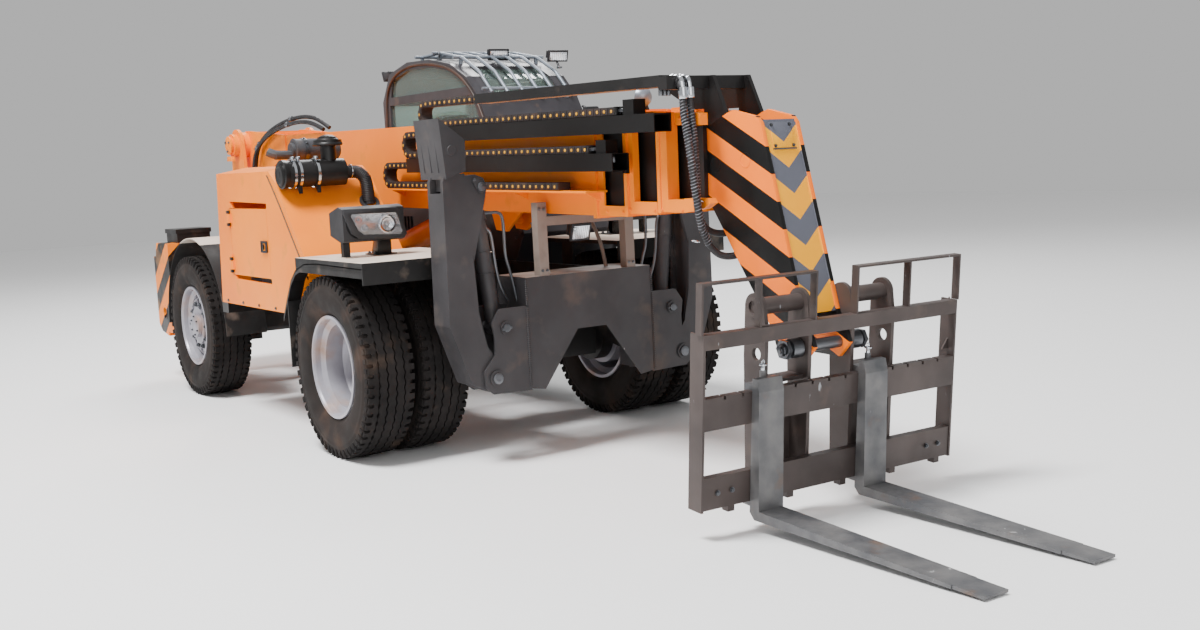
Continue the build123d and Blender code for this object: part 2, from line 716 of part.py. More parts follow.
for hand, sign in (("right", -1), ("left", 1)):
    leg_middle = (leg_x[0] + leg_x[1]) / 2
    with BuildPart(level(0)) as leg:
        plate(across(leg_middle), leg_x[1] - leg_x[0], mirrored(leg_outline, sign))
        for x, thick in ((leg_x[0] + ear_thick / 2, ear_thick), (leg_x[1] - ear_thick / 2, ear_thick)):
            plate(across(x), thick, mirrored([(760, 1590), (760, 1400), (724, 1130), (640, 1450),
                                              (622, 1527), (640, 1572), (690, 1592)], sign))
        block((leg_x[0] + 24, leg_x[1] - 24), (sign * 500, sign * 742), (620, 1700), Mode.SUBTRACT)
        block((leg_x[0] + 30, leg_x[1] - 30), (sign * 735, sign * 950), (1500, 1660), Mode.SUBTRACT)
        for x in (leg_x[0] + 2, leg_x[1] - 2):
            rod(across(x), sign * leg_eye[0], leg_eye[1], leg_eye_radius, 20)
        rod(across(leg_middle), sign * leg_pivot[0], leg_pivot[1], 52, leg_x[1] - leg_x[0])
        rod(across(leg_middle), sign * leg_pivot[0], leg_pivot[1], leg_pin_radius + running_gap, 400,
            mode=Mode.SUBTRACT)
        plate(across(745), 290, mirrored(foot_outline, sign))
        for x in (665, 745, 825):
            plate(across(x), 26, mirrored([(905, 1860), (899, 1860), (872, 1610), (910, 1600)], sign),
                  mode=Mode.SUBTRACT)
        block((leg_x[0] + 34, leg_x[1] - 34), (sign * 770, sign * 850), (1510, 1640))
    save(leg, f"stabiliser_leg_{hand}")

    at = stab_axis(sign)
    with BuildPart(level(0)) as stab_barrel:
        rod(across(ram_x), sign * ram_base[0], ram_base[1], 48, 2 * leg_eye_half)
        with BuildSketch(at(30)) as outline:
            Circle(stab_barrel_radius)
        extrude(outline.sketch, amount=stab_barrel_end - 30)
        with BuildSketch(at(stab_barrel_end - 50)) as outline:
            Circle(stab_barrel_radius + 6)
        extrude(outline.sketch, amount=50)
        with BuildSketch(at(90)) as outline:
            Circle(stab_rod_radius + running_gap)
        extrude(outline.sketch, amount=stab_barrel_end, mode=Mode.SUBTRACT)
        rod(across(ram_x), sign * ram_base[0], ram_base[1], ram_pin_radius + running_gap, 200,
            mode=Mode.SUBTRACT)
    save(stab_barrel, f"stabiliser_barrel_{hand}")

    with BuildPart(level(0)) as stab_rod:
        with BuildSketch(at(100)) as outline:
            Circle(stab_rod_radius)
        extrude(outline.sketch, amount=stab_closed - 100)
        rod(across(ram_x), sign * leg_eye[0], leg_eye[1], 44, 2 * leg_eye_half)
    save(stab_rod, f"stabiliser_rod_{hand}")

# ---------------------------------------------------------------- carriage
rack_half = 769
ear_y = (130, 385)
ear_round = 62
ear_eye = (-20, 205)
fork_width = 140
fork_thick = 45
fork_face = 100.3
fork_length = 1281
heel_top = -656            # the blade's flat top at its heel
blade_rise = 1.4           # degrees that the blade rises from the heel to the tip
tip_thick = 12

with BuildPart(rack_level(0)) as carriage:
    block((55, 100), (-rack_half, rack_half), (75, 140))
    block((60, 100), (-rack_half, rack_half), (-273, -133))
    block((55, 95), (-rack_half, rack_half), (-624, -482))
    for sign in (-1, 1):
        block((10, 100), (sign * (rack_half - 12), sign * rack_half), (-630, 140))
        for y in ear_y:
            with BuildSketch(rack_side(sign * y)) as outline:
                with BuildLine():
                    Polyline((-82, 205), (-84, -20), (-58, -560), (-20, -600), (56, -600), (56, 120),
                             (42, 205))
                    ThreePointArc((42, 205), (-20, 267), (-82, 205))
                make_face()
                Circle(fork_pin_radius + running_gap, mode=Mode.SUBTRACT)
            extrude(outline.sketch, amount=ear_thick / 2, both=True)
        rod(rack_side(sign * (ear_y[0] + ear_y[1]) / 2), ear_eye[0], ear_eye[1], 38,
            ear_y[1] - ear_y[0] + 10)
        block((-70, 30), (sign * ear_y[0], sign * ear_y[1]), (-135, -120))
        block((-66, -54), (sign * ear_y[0], sign * ear_y[1]), (-560, -300))
    for y in [-650 + 100 * n for n in range(14)]:
        block((50, 105), (y - 6, y + 6), (-148, -130), Mode.SUBTRACT)
    for y in (-600, -260, 60, 380, 680):
        block((55, 95), (y - 18, y + 18), (-650, -620))
save(carriage, "carriage")

with BuildPart(rack_level(0)) as carriage_pin:
    rod(rack_side(0), 0, 0, fork_pin_radius, 460)
    for sign in (-1, 1):
        with BuildSketch(rack_side(sign * 232)) as outline:
            RegularPolygon(46, 6)
        extrude(outline.sketch, amount=10, both=True)
        rod(rack_side(sign * 180), 0, 0, 44, 60)
save(carriage_pin, "carriage_pin")

# the load guards: side, middle, width and number of upright bars
guard_top = 358
guards = (
    ("right", -457, 648, 3),
    ("left", 445, 674, 3),
)

with BuildPart(rack_level(0)) as load_guards:
    for hand, middle, width, bars in guards:
        block((58, 98), (middle - width / 2, middle + width / 2), (guard_top - 10, guard_top))
        for bar in range(bars):
            y = middle - width / 2 + 5 + bar * (width - 10) / (bars - 1)
            block((58, 98), (y - 5, y + 5), (140, guard_top))
save(load_guards, "load_guards")

# the forks: side, middle, and the reach of the hooks over the bars
forks = (
    ("right", -430, (-488, -400)),
    ("left", 200, (146, 258)),
)

fork_tip = fork_face + fork_length
shank_front = fork_face + fork_thick
blade_start = shank_front + 15
tip_top_b = heel_top + tan(radians(blade_rise)) * (fork_tip - blade_start)

for hand, y, hook in forks:
    with BuildPart(rack_level(0)) as fork:
        with BuildSketch(rack_side(y)) as outline:
            with BuildLine():
                Polyline((fork_face, -75), (fork_face + 30, -75), (shank_front, -130),
                         (blade_start, heel_top), (fork_tip, tip_top_b),
                         (fork_tip, tip_top_b - tip_thick), (fork_face + 30, heel_top - fork_thick),
                         (fork_face, heel_top - fork_thick + 30), close=True)
            make_face()
        extrude(outline.sketch, amount=fork_width / 2, both=True)
        block((36, fork_face + 10), hook, (-133, -108))
        block((36, 59.7), hook, (-180, -108))
        block((36, fork_face + 10), hook, (-650, -624.3))
        block((36, 54.7), hook, (-650, -600.3))
        rod(rack_level(-80), 85, y, 14, 56)
        for sign in (-1, 1):
            plate(rack_across(fork_tip - 70), 160,
                  [(y + sign * 75, tip_top_b + 20), (y + sign * 75, tip_top_b - 60),
                   (y + sign * 66, tip_top_b - 60), (y + sign * 66, tip_top_b + 20)],
                  mode=Mode.SUBTRACT)
    save(fork, f"fork_{hand}")

# ---------------------------------------------------------------- mudguards
deck_high = 1150
deck_low = 1126
fender_rear = -385
deck_half = 1240
guard_radius = 690
sheet = 6

with BuildPart(level(0)) as mudguards:
    for sign in (-1, 1):
        block((fender_rear, 556), (sign * 424, sign * deck_half), (deck_low, deck_high))
        block((fender_rear, 556), (sign * (deck_half - 12), sign * deck_half),
              (deck_low - 60, deck_high))
        block((556, 568), (sign * 424, sign * deck_half), (1030, deck_high))
        block((-562, -550), (sign * 424, sign * deck_half), (480, 880))
        block((-700, -562), (sign * 700, sign * 760), (720, 760))
        block((-60, 60), (sign * frame_half, sign * 440), (960, 990))
        block((-60, 60), (sign * 424, sign * 440), (960, deck_low))
        with BuildSketch(side(sign * 900 + 150)) as outline:
            with Locations((-wheelbase, 500)):
                Circle(guard_radius + sheet)
                Circle(guard_radius, mode=Mode.SUBTRACT)
                Rectangle(1600, 1600, align=(Align.CENTER, Align.MAX), mode=Mode.SUBTRACT)
        extrude(outline.sketch, amount=300)
        block((-wheelbase - 10, -wheelbase + 10), (sign * frame_half, sign * 350), (900, 1189))
        block((-wheelbase - 10, -wheelbase + 10), (sign * 350, sign * 760), (1160, 1189))
save(mudguards, "mudguards")

# ---------------------------------------------------------------- counterweight and rear boxes
weight_half = 1000
hitch_radius = 26
hitch_x = frame_rear - 335

with BuildPart(level(0)) as counterweight:
    plate(side(0), 2 * weight_half,
          [(frame_rear, 370), (frame_rear - 180, 400), (frame_rear - 390, 570),
           (frame_rear - 370, 1010), (frame_rear - 200, 1020), (frame_rear - 160, 1130),
           (frame_rear, 1130)])
    for sign in (-1, 1):
        block((frame_rear - 1, frame_rear + 150), (sign * 336, sign * weight_half), (400, 1130))
        plate(level(700), 900,
              [(frame_rear - 400, sign * 760), (frame_rear - 400, sign * 1010),
               (frame_rear - 250, sign * 1010)], mode=Mode.SUBTRACT)
        rod(side(sign * 980), frame_rear - 60, 560, 45, 60, mode=Mode.SUBTRACT)
    for low, high in ((640, 740), (820, 1100)):
        block((frame_rear - 400, frame_rear - 290), (-70, 70), (low, high), Mode.SUBTRACT)
    rod(level(700), hitch_x, 0, hitch_radius, 420, mode=Mode.SUBTRACT)
save(counterweight, "counterweight")

with BuildPart(level(0)) as rear_boxes:
    block((frame_rear - 156, frame_rear + 140), (-920, -630), (1205, 1240))
    block((frame_rear - 150, frame_rear + 134), (-910, -640), (1130, 1205))
    block((frame_rear - 100, frame_rear + 480), (450, 740), (1130, 1300))
    rod(side(-900), -wheelbase, 500, guard_radius + 16, 320, mode=Mode.SUBTRACT)
save(rear_boxes, "rear_boxes")

# ---------------------------------------------------------------- hood
hood_out = -1150
hood_in = -500
hood_wall = 25
hood_drop = 35             # how far the top falls to its outer edge
hood_fall = 280            # over this much of the width
hood_profile = ((-2030, outrigger_high), (-1950, 1700), (-980, 1676), (-850, 1590), (-390, 1060),
                (-396, 1040), (-470, 1010), (-640, outrigger_high))
hood_hollow = ((-2000, 770), (-1924, 1672), (-992, 1648), (-868, 1562), (-430, 1060), (-500, 1030),
               (-664, 770))
door_x = (-1740, -1050)
door_z = (985, 1430)
door_gap = 4
door_slots = (((-1735, 1478), (-1040, 1464), (-1040, 1433), (-1700, 1433)),
              ((-1730, 982), (-1035, 982), (-1035, 950), (-1700, 958)))



def hood_solid(y, profile):
    """The hood's filled form between a pair of faces, its top falling to the outer edge."""
    fall = [(hood_out - 50, profile[1][1] - hood_drop), (hood_out - 50, profile[1][1] + 40),
            (hood_out + hood_fall, profile[1][1] + 40), (hood_out + hood_fall, profile[1][1] + 12),
            (hood_out, profile[1][1] - hood_drop)]
    with BuildPart(mode=Mode.PRIVATE) as form:
        plate(side((y[0] + y[1]) / 2), y[1] - y[0], profile)
        plate(across((profile[1][0] - 800) / 2), 3000, fall, mode=Mode.SUBTRACT)
    return form.part


hood_form = hood_solid((hood_out, hood_in), hood_profile)

with BuildPart() as hood:
    add(hood_form)
    add(hood_solid((hood_out + hood_wall, hood_in + 1), hood_hollow), mode=Mode.SUBTRACT)
    with Locations((front_axle_x + (door_x[0] + door_x[1]) / 2, hood_out, sum(door_z) / 2)):
        Box(door_x[1] - door_x[0] + 2 * door_gap, 200, door_z[1] - door_z[0] + 2 * door_gap,
            mode=Mode.SUBTRACT)
    for points in door_slots:
        plate(side(hood_out), 200, points, mode=Mode.SUBTRACT)
save(hood, "hood")

door_hinge_x = door_x[0]
door_hinge_y = hood_out - 10
hinge_pin = 5
knuckle_radius = 9

with BuildPart(level(0)) as hood_door:
    block(door_x, (hood_out, hood_out + 22), door_z)
    block((-1118, -1092), (hood_out - 12, hood_out), (1165, 1210))
    for z in (1050, 1365):
        rod(level(z), door_hinge_x, door_hinge_y, knuckle_radius, 60)
        block((door_hinge_x, door_hinge_x + 30), (door_hinge_y - 4, hood_out + 1), (z - 30, z + 30))
        rod(level(z), door_hinge_x, door_hinge_y, hinge_pin + running_gap, 70, mode=Mode.SUBTRACT)
save(hood_door, "hood_door")

with BuildPart(level(0)) as hood_hinges:
    for z in (1050, 1365):
        rod(level(z), door_hinge_x, door_hinge_y, hinge_pin, 100)
        for end in (-42, 42):
            rod(level(z + end), door_hinge_x, door_hinge_y, knuckle_radius, 20)
            block((door_hinge_x - 34, door_hinge_x), (door_hinge_y - 4, hood_out),
                  (z + end - 10, z + end + 10))
save(hood_hinges, "hood_hinges")

# engine: name is its piece, then x, y and z ranges
engine_pieces = (
    ((-1850, -1150), (-930, -600), (900, 1250)),
    ((-1800, -1200), (-900, -640), (780, 900)),
    ((-1830, -1170), (-880, -650), (1250, 1350)),
    ((-1800, -1700), (-1000, -920), (1000, 1120)),
    ((-1500, -1250), (-1010, -920), (1080, 1200)),
    ((-1900, -1845), (-980, -560), (820, 1400)),
)

with BuildPart(level(0)) as engine_block:
    for x, y, z in engine_pieces:
        block(x, y, z)
    rod(side(-970), -1600, 1010, 60, 90)
    rod(across(-1140), -760, 950, 110, 60)
    for x in (-1740, -1260):
        block((x - 40, x + 40), (-640, -frame_half), (820, 880))
save(engine_block, "engine_block")

# ---------------------------------------------------------------- air cleaner and exhaust
cleaner_x = -750
cleaner_z = 1640
cleaner_radius = 85
muffler_x = -1150
muffler_z = 1790
muffler_radius = 75

with BuildPart(level(0)) as air_cleaner:
    rod(side(-945), cleaner_x, cleaner_z, cleaner_radius, 410)
    rod(side(-1146), cleaner_x, cleaner_z, 68, 30)
    for y in (-930, -1050):
        rod(side(y), cleaner_x, cleaner_z, cleaner_radius + 6, 30)
        block((cleaner_x - 75, cleaner_x + 60), (y - 12, y + 12), (1350, cleaner_z - 40))
    rod(level(1760), cleaner_x, -830, 48, 100)
    rod(level(1825), cleaner_x, -830, 88, 34)
    rod(level(1850), cleaner_x, -830, 60, 20)
    add(hood_form, mode=Mode.SUBTRACT)
save(air_cleaner, "air_cleaner")

with BuildPart(level(0)) as exhaust:
    rod(side(-755), muffler_x, muffler_z, muffler_radius, 290)
    for y in (-905, -605):
        rod(side(y), muffler_x, muffler_z, 50, 30)
    rod(side(-960), muffler_x, muffler_z - 25, 28, 130)
    rod(level(1710), muffler_x, -700, 30, 130)
    for y in (-680, -830):
        block((muffler_x - 50, muffler_x + 50), (y - 8, y + 8), (1600, muffler_z - 50))
    add(hood_form, mode=Mode.SUBTRACT)
save(exhaust, "exhaust")

# ---------------------------------------------------------------- headlamps
lamp_x = 100
lamp_z = (1247, 1427)
lamp_y = (750, 1130)

with BuildPart(level(0)) as headlamps:
    for sign in (-1, 1):
        outline = [(lamp_x, lamp_z[0]), (lamp_x, lamp_z[1]), (lamp_x - 60, lamp_z[1] + 14),
                   (lamp_x - 190, lamp_z[1] - 20), (lamp_x - 190, lamp_z[0] + 30),
                   (lamp_x - 40, lamp_z[0] - 10)]
        plate(side(sign * (lamp_y[0] + lamp_y[1]) / 2), lamp_y[1] - lamp_y[0], outline)
        for y in (846, 1034):
            rod(across(lamp_x), sign * y, (lamp_z[0] + lamp_z[1]) / 2, 78, 24, mode=Mode.SUBTRACT)
            rod(across(lamp_x - 10), sign * y, (lamp_z[0] + lamp_z[1]) / 2, 70, 10)
        block((lamp_x - 170, lamp_x - 130), (sign * 800, sign * 840), (deck_high, lamp_z[0] + 60))
        block((lamp_x - 170, lamp_x - 130), (sign * 1040, sign * 1080), (deck_high, lamp_z[0] + 60))
save(headlamps, "headlamps")

# ---------------------------------------------------------------- cab
cab_in = 350
cab_out = 1150
cab_wall = 45
glass = 6
cab_profile = ((-2380, 850), (-2410, 2150), (-2270, 2355), (-1960, 2420), (-1600, 2410),
               (-1290, 2356), (-1070, 2250), (-905, 2100), (-810, 1940), (-550, 1600),
               (-400, 1180), (-580, 900), (-620, 850))
cab_hollow = ((-2335, 895), (-2364, 2138), (-2244, 2315), (-1955, 2375), (-1604, 2365),
              (-1304, 2313), (-1097, 2214), (-942, 2072), (-850, 1920), (-592, 1580),
              (-450, 1185), (-612, 925), (-640, 895))
# windows in the right wall
right_windows = (
    ((-2290, 2120), (-2290, 1600), (-680, 1600), (-850, 1850), (-968, 2060), (-1020, 2120)),
    ((-2260, 2180), (-1060, 2180), (-1110, 2215), (-1310, 2306), (-1604, 2356), (-1950, 2362),
     (-2230, 2300)),
)
door_opening = ((-1940, 1020), (-1940, 2240), (-1150, 2240), (-960, 2060), (-840, 1880),
                (-700, 1640), (-660, 1560), (-660, 1020))
rear_pane = ((-2300, 1560), (-2300, 2140), (-1990, 2140), (-1990, 1560))


with BuildPart(level(0)) as cab_frame:
    plate(side((cab_in + cab_out) / 2), cab_out - cab_in, cab_profile)
    plate(side((cab_in + cab_out) / 2), cab_out - cab_in - 2 * cab_wall, cab_hollow,
          mode=Mode.SUBTRACT)
    for points in right_windows:
        plate(side(cab_in), 100, points, mode=Mode.SUBTRACT)
    for points in (door_opening, rear_pane):
        plate(side(cab_out), 100, points, mode=Mode.SUBTRACT)
    middle = (cab_in + cab_out) / 2
    block((-1000, -300), (middle - 330, middle + 330), (1960, 1310), Mode.SUBTRACT)
    block((-2480, -2300), (middle - 320, middle + 320), (1500, 2120), Mode.SUBTRACT)
    block((-1240, -920), (middle - 280, middle + 280), (2050, 2400), Mode.SUBTRACT)
    for x in (-2100, -700):
        for y in (450, 1050):
            rod(level(815), x, y, 45, 70)
save(cab_frame, "cab_frame")


def pane(y, points):
    """A pane let into a wall opening, its edge seated on the opening's edge."""
    with BuildSketch(side(y)) as outline:
        with BuildLine():
            Polyline(*points, close=True)
        make_face()
    extrude(outline.sketch, amount=glass / 2, both=True)


with BuildPart(level(0)) as cab_glass:
    for points in right_windows:
        pane(cab_in + 20, points)
    pane(cab_out - 20, rear_pane)
    middle = (cab_in + cab_out) / 2
    plate(side(middle), 660, [(-467.2, 1310), (-567.8, 1590.3), (-826.6, 1928.7), (-845.2, 1960),
                              (-852.2, 1960), (-831.6, 1925.3), (-573.1, 1587.4), (-473.6, 1310)])
    plate(side(middle), 560, [(-1240, 2309.8), (-1081.3, 2233.2), (-920, 2086.6), (-920, 2078.5),
                              (-1084.7, 2228.2), (-1240, 2303.1)])
    block((-2400, -2394), (middle - 320, middle + 320), (1500, 2120))
save(cab_glass, "cab_glass")

guard_tube = 12
guard_lift = 40

with BuildPart(level(0)) as cab_guard:
    for n in range(6):
        y = 440 + n * 124
        with BuildLine():
            FilletPolyline((front_axle_x - 1900, y, 2450), (front_axle_x - 1600, y, 2455),
                           (front_axle_x - 1270, y, 2396), (front_axle_x - 1035, y, 2280),
                           (front_axle_x - 870, y, 2128), radius=120)
        with BuildSketch(Plane(origin=(front_axle_x - 1900, y, 2450), z_dir=(1, 0, 0.017))):
            Circle(guard_tube)
        sweep()
    for x, z in ((-1880, 2450), (-1600, 2455), (-1290, 2400), (-900, 2155)):
        rod(side(750), x, z, guard_tube - 1, 740)
        for y in (440, 1060):
            block((x - 10, x + 10), (y - 10, y + 10), (z - 70, z))
    plate(side((cab_in + cab_out) / 2), cab_out - cab_in, cab_profile, mode=Mode.SUBTRACT)
save(cab_guard, "cab_guard")

cab_door_gap = 5
cab_hinge_x = door_opening[0][0]
cab_hinge_y = cab_out + 10


with BuildPart(level(0)) as cab_door:
    with BuildSketch(side(cab_out)) as outline:
        with BuildLine():
            Polyline(*door_opening, close=True)
        make_face()
        offset(amount=-cab_door_gap, kind=Kind.INTERSECTION)
    extrude(outline.sketch, amount=30)
    with BuildSketch(side(cab_out + 1)) as outline:
        with BuildLine():
            Polyline(*door_opening, close=True)
        make_face()
        offset(amount=-cab_door_gap - 50, kind=Kind.INTERSECTION)
    extrude(outline.sketch, amount=40, mode=Mode.SUBTRACT)
    block((-1900, -700), (cab_out - 30, cab_out), (1580, 1620))
    for z in (1150, 2080):
        rod(level(z), cab_hinge_x, cab_hinge_y, knuckle_radius, 60)
        block((cab_hinge_x, cab_hinge_x + 40), (cab_out - 1, cab_hinge_y + 4), (z - 30, z + 30))
        rod(level(z), cab_hinge_x, cab_hinge_y, hinge_pin + running_gap, 70, mode=Mode.SUBTRACT)
save(cab_door, "cab_door")

with BuildPart(level(0)) as cab_door_glass:
    with BuildSketch(side(cab_out - 12)) as outline:
        with BuildLine():
            Polyline(*door_opening, close=True)
        make_face()
        offset(amount=-cab_door_gap - 50, kind=Kind.INTERSECTION)
    extrude(outline.sketch, amount=glass)
    block((-1950, -650), (cab_out - 60, cab_out + 10), (1580, 1620), mode=Mode.SUBTRACT)
save(cab_door_glass, "cab_door_glass")

with BuildPart(level(0)) as cab_hinges:
    for z in (1150, 2080):
        rod(level(z), cab_hinge_x, cab_hinge_y, hinge_pin, 100)
        for end in (-42, 42):
            rod(level(z + end), cab_hinge_x, cab_hinge_y, knuckle_radius, 20)
            block((cab_hinge_x - 34, cab_hinge_x), (cab_out, cab_hinge_y + 4),
                  (z + end - 10, z + end + 10))
save(cab_hinges, "cab_hinges")

wheel_lean = 25

with BuildPart(level(0)) as cab_interior:
    block((-1900, -1480), (560, 960), (895, 1180))
    block((-1920, -1430), (530, 990), (1180, 1300))
    plate(side(760), 460, [(-1930, 1280), (-2060, 1850), (-1960, 1870), (-1800, 1280)])
    plate(side(760), 280, [(-2062, 1850), (-2080, 2010), (-2010, 2020), (-1965, 1870)])
    block((-1900, -1350), (410, 520), (895, 1330))
    block((-800, -660), (600, 920), (895, 1250))
    plate(side(760), 70, [(-720, 1250), (-850, 1560), (-820, 1575), (-660, 1250)])
    with BuildSketch(Plane(origin=(front_axle_x - 845, 760, 1575), x_dir=(0, 1, 0),
                           z_dir=(-sin(radians(wheel_lean)), 0, cos(radians(wheel_lean))))) as wheel:
        Circle(190)
        Circle(165, mode=Mode.SUBTRACT)
        Rectangle(340, 34)
        Circle(40)
    extrude(wheel.sketch, amount=12, both=True)
    rod(level(1370), -1400, 465, 12, 160)
save(cab_interior, "cab_interior")

with BuildPart(level(0)) as side_tank:
    block((-2000, -1150), (frame_half, 1060), (450, 694))
    block((-1900, -1000), (1060, 1150), (560, 584))
    block((-1900, -1000), (1060, 1150), (450, 474))
    block((-1900, -1870), (1055, 1150), (450, 600))
    block((-1240, -1210), (1055, 1150), (450, 600))
save(side_tank, "side_tank")

# ---------------------------------------------------------------- hoses
hose_radius = 17
# each hose starts at the crossbar of the tip section and ends between the nose plates
hose_paths = (
    ((2162, -300, 1985), (2194, -300, 1951), (2200, -300, 1860), (2227, -300, 1715),
     (2243, -297, 1596), (2246, -285, 1477), (2245, -268, 1371), (2234, -240, 1285),
     (2233, -200, 1211), (2252, -150, 1162), (2285, -90, 1157), (2330, -60, 1180)),
    ((2162, -257, 1985), (2184, -257, 1951), (2204, -257, 1830), (2216, -257, 1700),
     (2220, -257, 1594), (2222, -257, 1475), (2222, -257, 1395), (2216, -230, 1320),
     (2210, -165, 1272), (2222, -100, 1262), (2280, -60, 1285)),
)

with BuildPart() as nose_hoses:
    for path in hose_paths:
        with BuildLine(tip_side(0)) as line:
            Spline(*[(x, z, -y) for x, y, z in path])
        with BuildSketch(Plane(origin=line.line @ 0, z_dir=line.line % 0)) as outline:
            Circle(hose_radius)
        sweep(outline.sketch, path=line.line)
    for y in (-300, -257):
        rod(boom_across(6026), y, 175, 20, 12)
    add(boom_section_4.part, mode=Mode.SUBTRACT)
save(nose_hoses, "nose_hoses")
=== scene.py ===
import math

import bpy
from mathutils import Matrix, Vector


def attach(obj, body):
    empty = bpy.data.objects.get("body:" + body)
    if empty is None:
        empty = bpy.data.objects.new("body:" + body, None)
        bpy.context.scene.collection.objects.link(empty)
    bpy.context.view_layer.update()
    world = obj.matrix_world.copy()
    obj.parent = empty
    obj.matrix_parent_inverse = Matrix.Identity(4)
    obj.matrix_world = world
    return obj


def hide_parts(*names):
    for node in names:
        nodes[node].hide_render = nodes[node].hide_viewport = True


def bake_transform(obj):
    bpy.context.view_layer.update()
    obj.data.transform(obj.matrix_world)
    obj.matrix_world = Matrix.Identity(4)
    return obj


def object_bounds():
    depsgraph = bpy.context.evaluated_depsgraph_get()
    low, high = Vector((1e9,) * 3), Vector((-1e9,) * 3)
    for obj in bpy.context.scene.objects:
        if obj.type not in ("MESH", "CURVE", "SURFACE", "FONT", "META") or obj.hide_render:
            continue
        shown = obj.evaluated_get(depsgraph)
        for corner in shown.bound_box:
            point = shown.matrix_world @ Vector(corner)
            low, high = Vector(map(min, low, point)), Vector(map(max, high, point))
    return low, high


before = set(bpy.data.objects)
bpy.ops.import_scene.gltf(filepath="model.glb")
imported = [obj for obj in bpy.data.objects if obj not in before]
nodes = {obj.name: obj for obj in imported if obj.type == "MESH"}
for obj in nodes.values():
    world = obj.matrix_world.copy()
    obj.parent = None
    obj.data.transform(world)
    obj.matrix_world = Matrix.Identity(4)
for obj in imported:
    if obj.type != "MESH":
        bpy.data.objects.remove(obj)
cadLow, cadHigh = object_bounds()
print("frame loaded:", len(nodes), "nodes")

axleX = 0.099  # front axle, forward of the model's origin
sides = (("right", -1), ("left", 1))


# ---- places on the machine: metres from the front axle, along the boom, and on the carriage ----
def fromAxle(x, y, z):
    return Vector((axleX + x, y, z))


boomFrame = {"pinX": -3.85, "pinZ": 1.9, "droop": math.radians(0.9)}


def alongBoom(u, y, w):
    lean = boomFrame["droop"]
    return fromAxle(boomFrame["pinX"] + u * math.cos(lean) + w * math.sin(lean), y,
                    boomFrame["pinZ"] - u * math.sin(lean) + w * math.cos(lean))


rackFrame = {"x": 2.77, "z": 0.765, "lean": math.radians(5)}


def onRack(a, y, b):
    lean = rackFrame["lean"]
    return fromAxle(rackFrame["x"] + a * math.cos(lean) + b * math.sin(lean), y,
                    rackFrame["z"] - a * math.sin(lean) + b * math.cos(lean))


# ---- camera ----
camera = {
    "place": (7.347, -4.201, 1.645),
    "yaw": 0.5898,
    "pitch": 0.1151,
    "roll": -0.0490,
    "lens": 40.59,
}


def addCamera(c):
    data = bpy.data.cameras.new("camera")
    data.lens = c["lens"]
    data.sensor_width = 36
    data.clip_end = 200
    obj = bpy.data.objects.new("camera", data)
    bpy.context.scene.collection.objects.link(obj)
    forward = Vector((-math.cos(c["yaw"]) * math.cos(c["pitch"]),
                      math.sin(c["yaw"]) * math.cos(c["pitch"]),
                      -math.sin(c["pitch"])))
    right = forward.cross(Vector((0, 0, 1))).normalized()
    up = right.cross(forward)
    turnC, turnS = math.cos(c["roll"]), math.sin(c["roll"])
    basis = [right * turnC + up * turnS, up * turnC - right * turnS, -forward]
    matrix = [[basis[col][row] for col in range(3)] + [c["place"][row]] for row in range(3)]
    obj.matrix_world = Matrix(matrix + [[0, 0, 0, 1]])
    bpy.context.scene.camera = obj


addCamera(camera)


# ---- modelling ----
def deselectAll():
    if bpy.context.object and bpy.context.object.mode != "OBJECT":
        bpy.ops.object.mode_set(mode="OBJECT")
    bpy.ops.object.select_all(action="DESELECT")


def pick(obj):
    deselectAll()
    obj.select_set(True)
    bpy.context.view_layer.objects.active = obj


def editAll(obj):
    pick(obj)
    bpy.ops.object.mode_set(mode="EDIT")
    bpy.ops.mesh.select_all(action="SELECT")


def bakePlace(obj):
    pick(obj)
    bpy.ops.object.transform_apply(location=True, rotation=True, scale=True)


def applyModifier(obj, kind, **settings):
    mod = obj.modifiers.new(kind.lower(), kind)
    for key, value in settings.items():
        setattr(mod, key, value)
    pick(obj)
    bpy.ops.object.modifier_apply(modifier=mod.name)


def softenEdges(obj, width, segments=2):
    if width:
        applyModifier(obj, "BEVEL", width=width, segments=segments, limit_method="ANGLE",
                      angle_limit=math.radians(35))


def fixNormals(obj, merge=0.00001):
    editAll(obj)
    bpy.ops.mesh.remove_doubles(threshold=merge)
    bpy.ops.mesh.select_all(action="SELECT")
    bpy.ops.mesh.normals_make_consistent(inside=False)
    bpy.ops.object.mode_set(mode="OBJECT")


def addBar(low, high, edge=0.003):
    low, high = Vector(low), Vector(high)
    deselectAll()
    bpy.ops.mesh.primitive_cube_add(size=1, location=(low + high) / 2)
    obj = bpy.context.object
    obj.scale = [abs(v) for v in high - low]
    bakePlace(obj)
    softenEdges(obj, edge)
    return obj


def addRod(start, end, radius, edge=0.002, steps=24):
    start, end = Vector(start), Vector(end)
    axis = end - start
    deselectAll()
    bpy.ops.mesh.primitive_cylinder_add(vertices=steps, radius=radius, depth=axis.length,
                                        location=(start + end) / 2,
                                        rotation=axis.to_track_quat("Z", "Y").to_euler())
    obj = bpy.context.object
    bakePlace(obj)
    softenEdges(obj, edge)
    return obj


def addPlate(corners, thick, edge=0.002):
    # corners of one face, then the way that it is thickened
    deselectAll()
    bpy.ops.mesh.primitive_circle_add(vertices=len(corners), radius=1, fill_type="NGON")
    obj = bpy.context.object
    for vert, corner in zip(obj.data.vertices, corners):
        vert.co = corner
    editAll(obj)
    bpy.ops.mesh.extrude_region_move(TRANSFORM_OT_translate={"value": Vector(thick)})
    fixNormals(obj)
    softenEdges(obj, edge)
    return obj


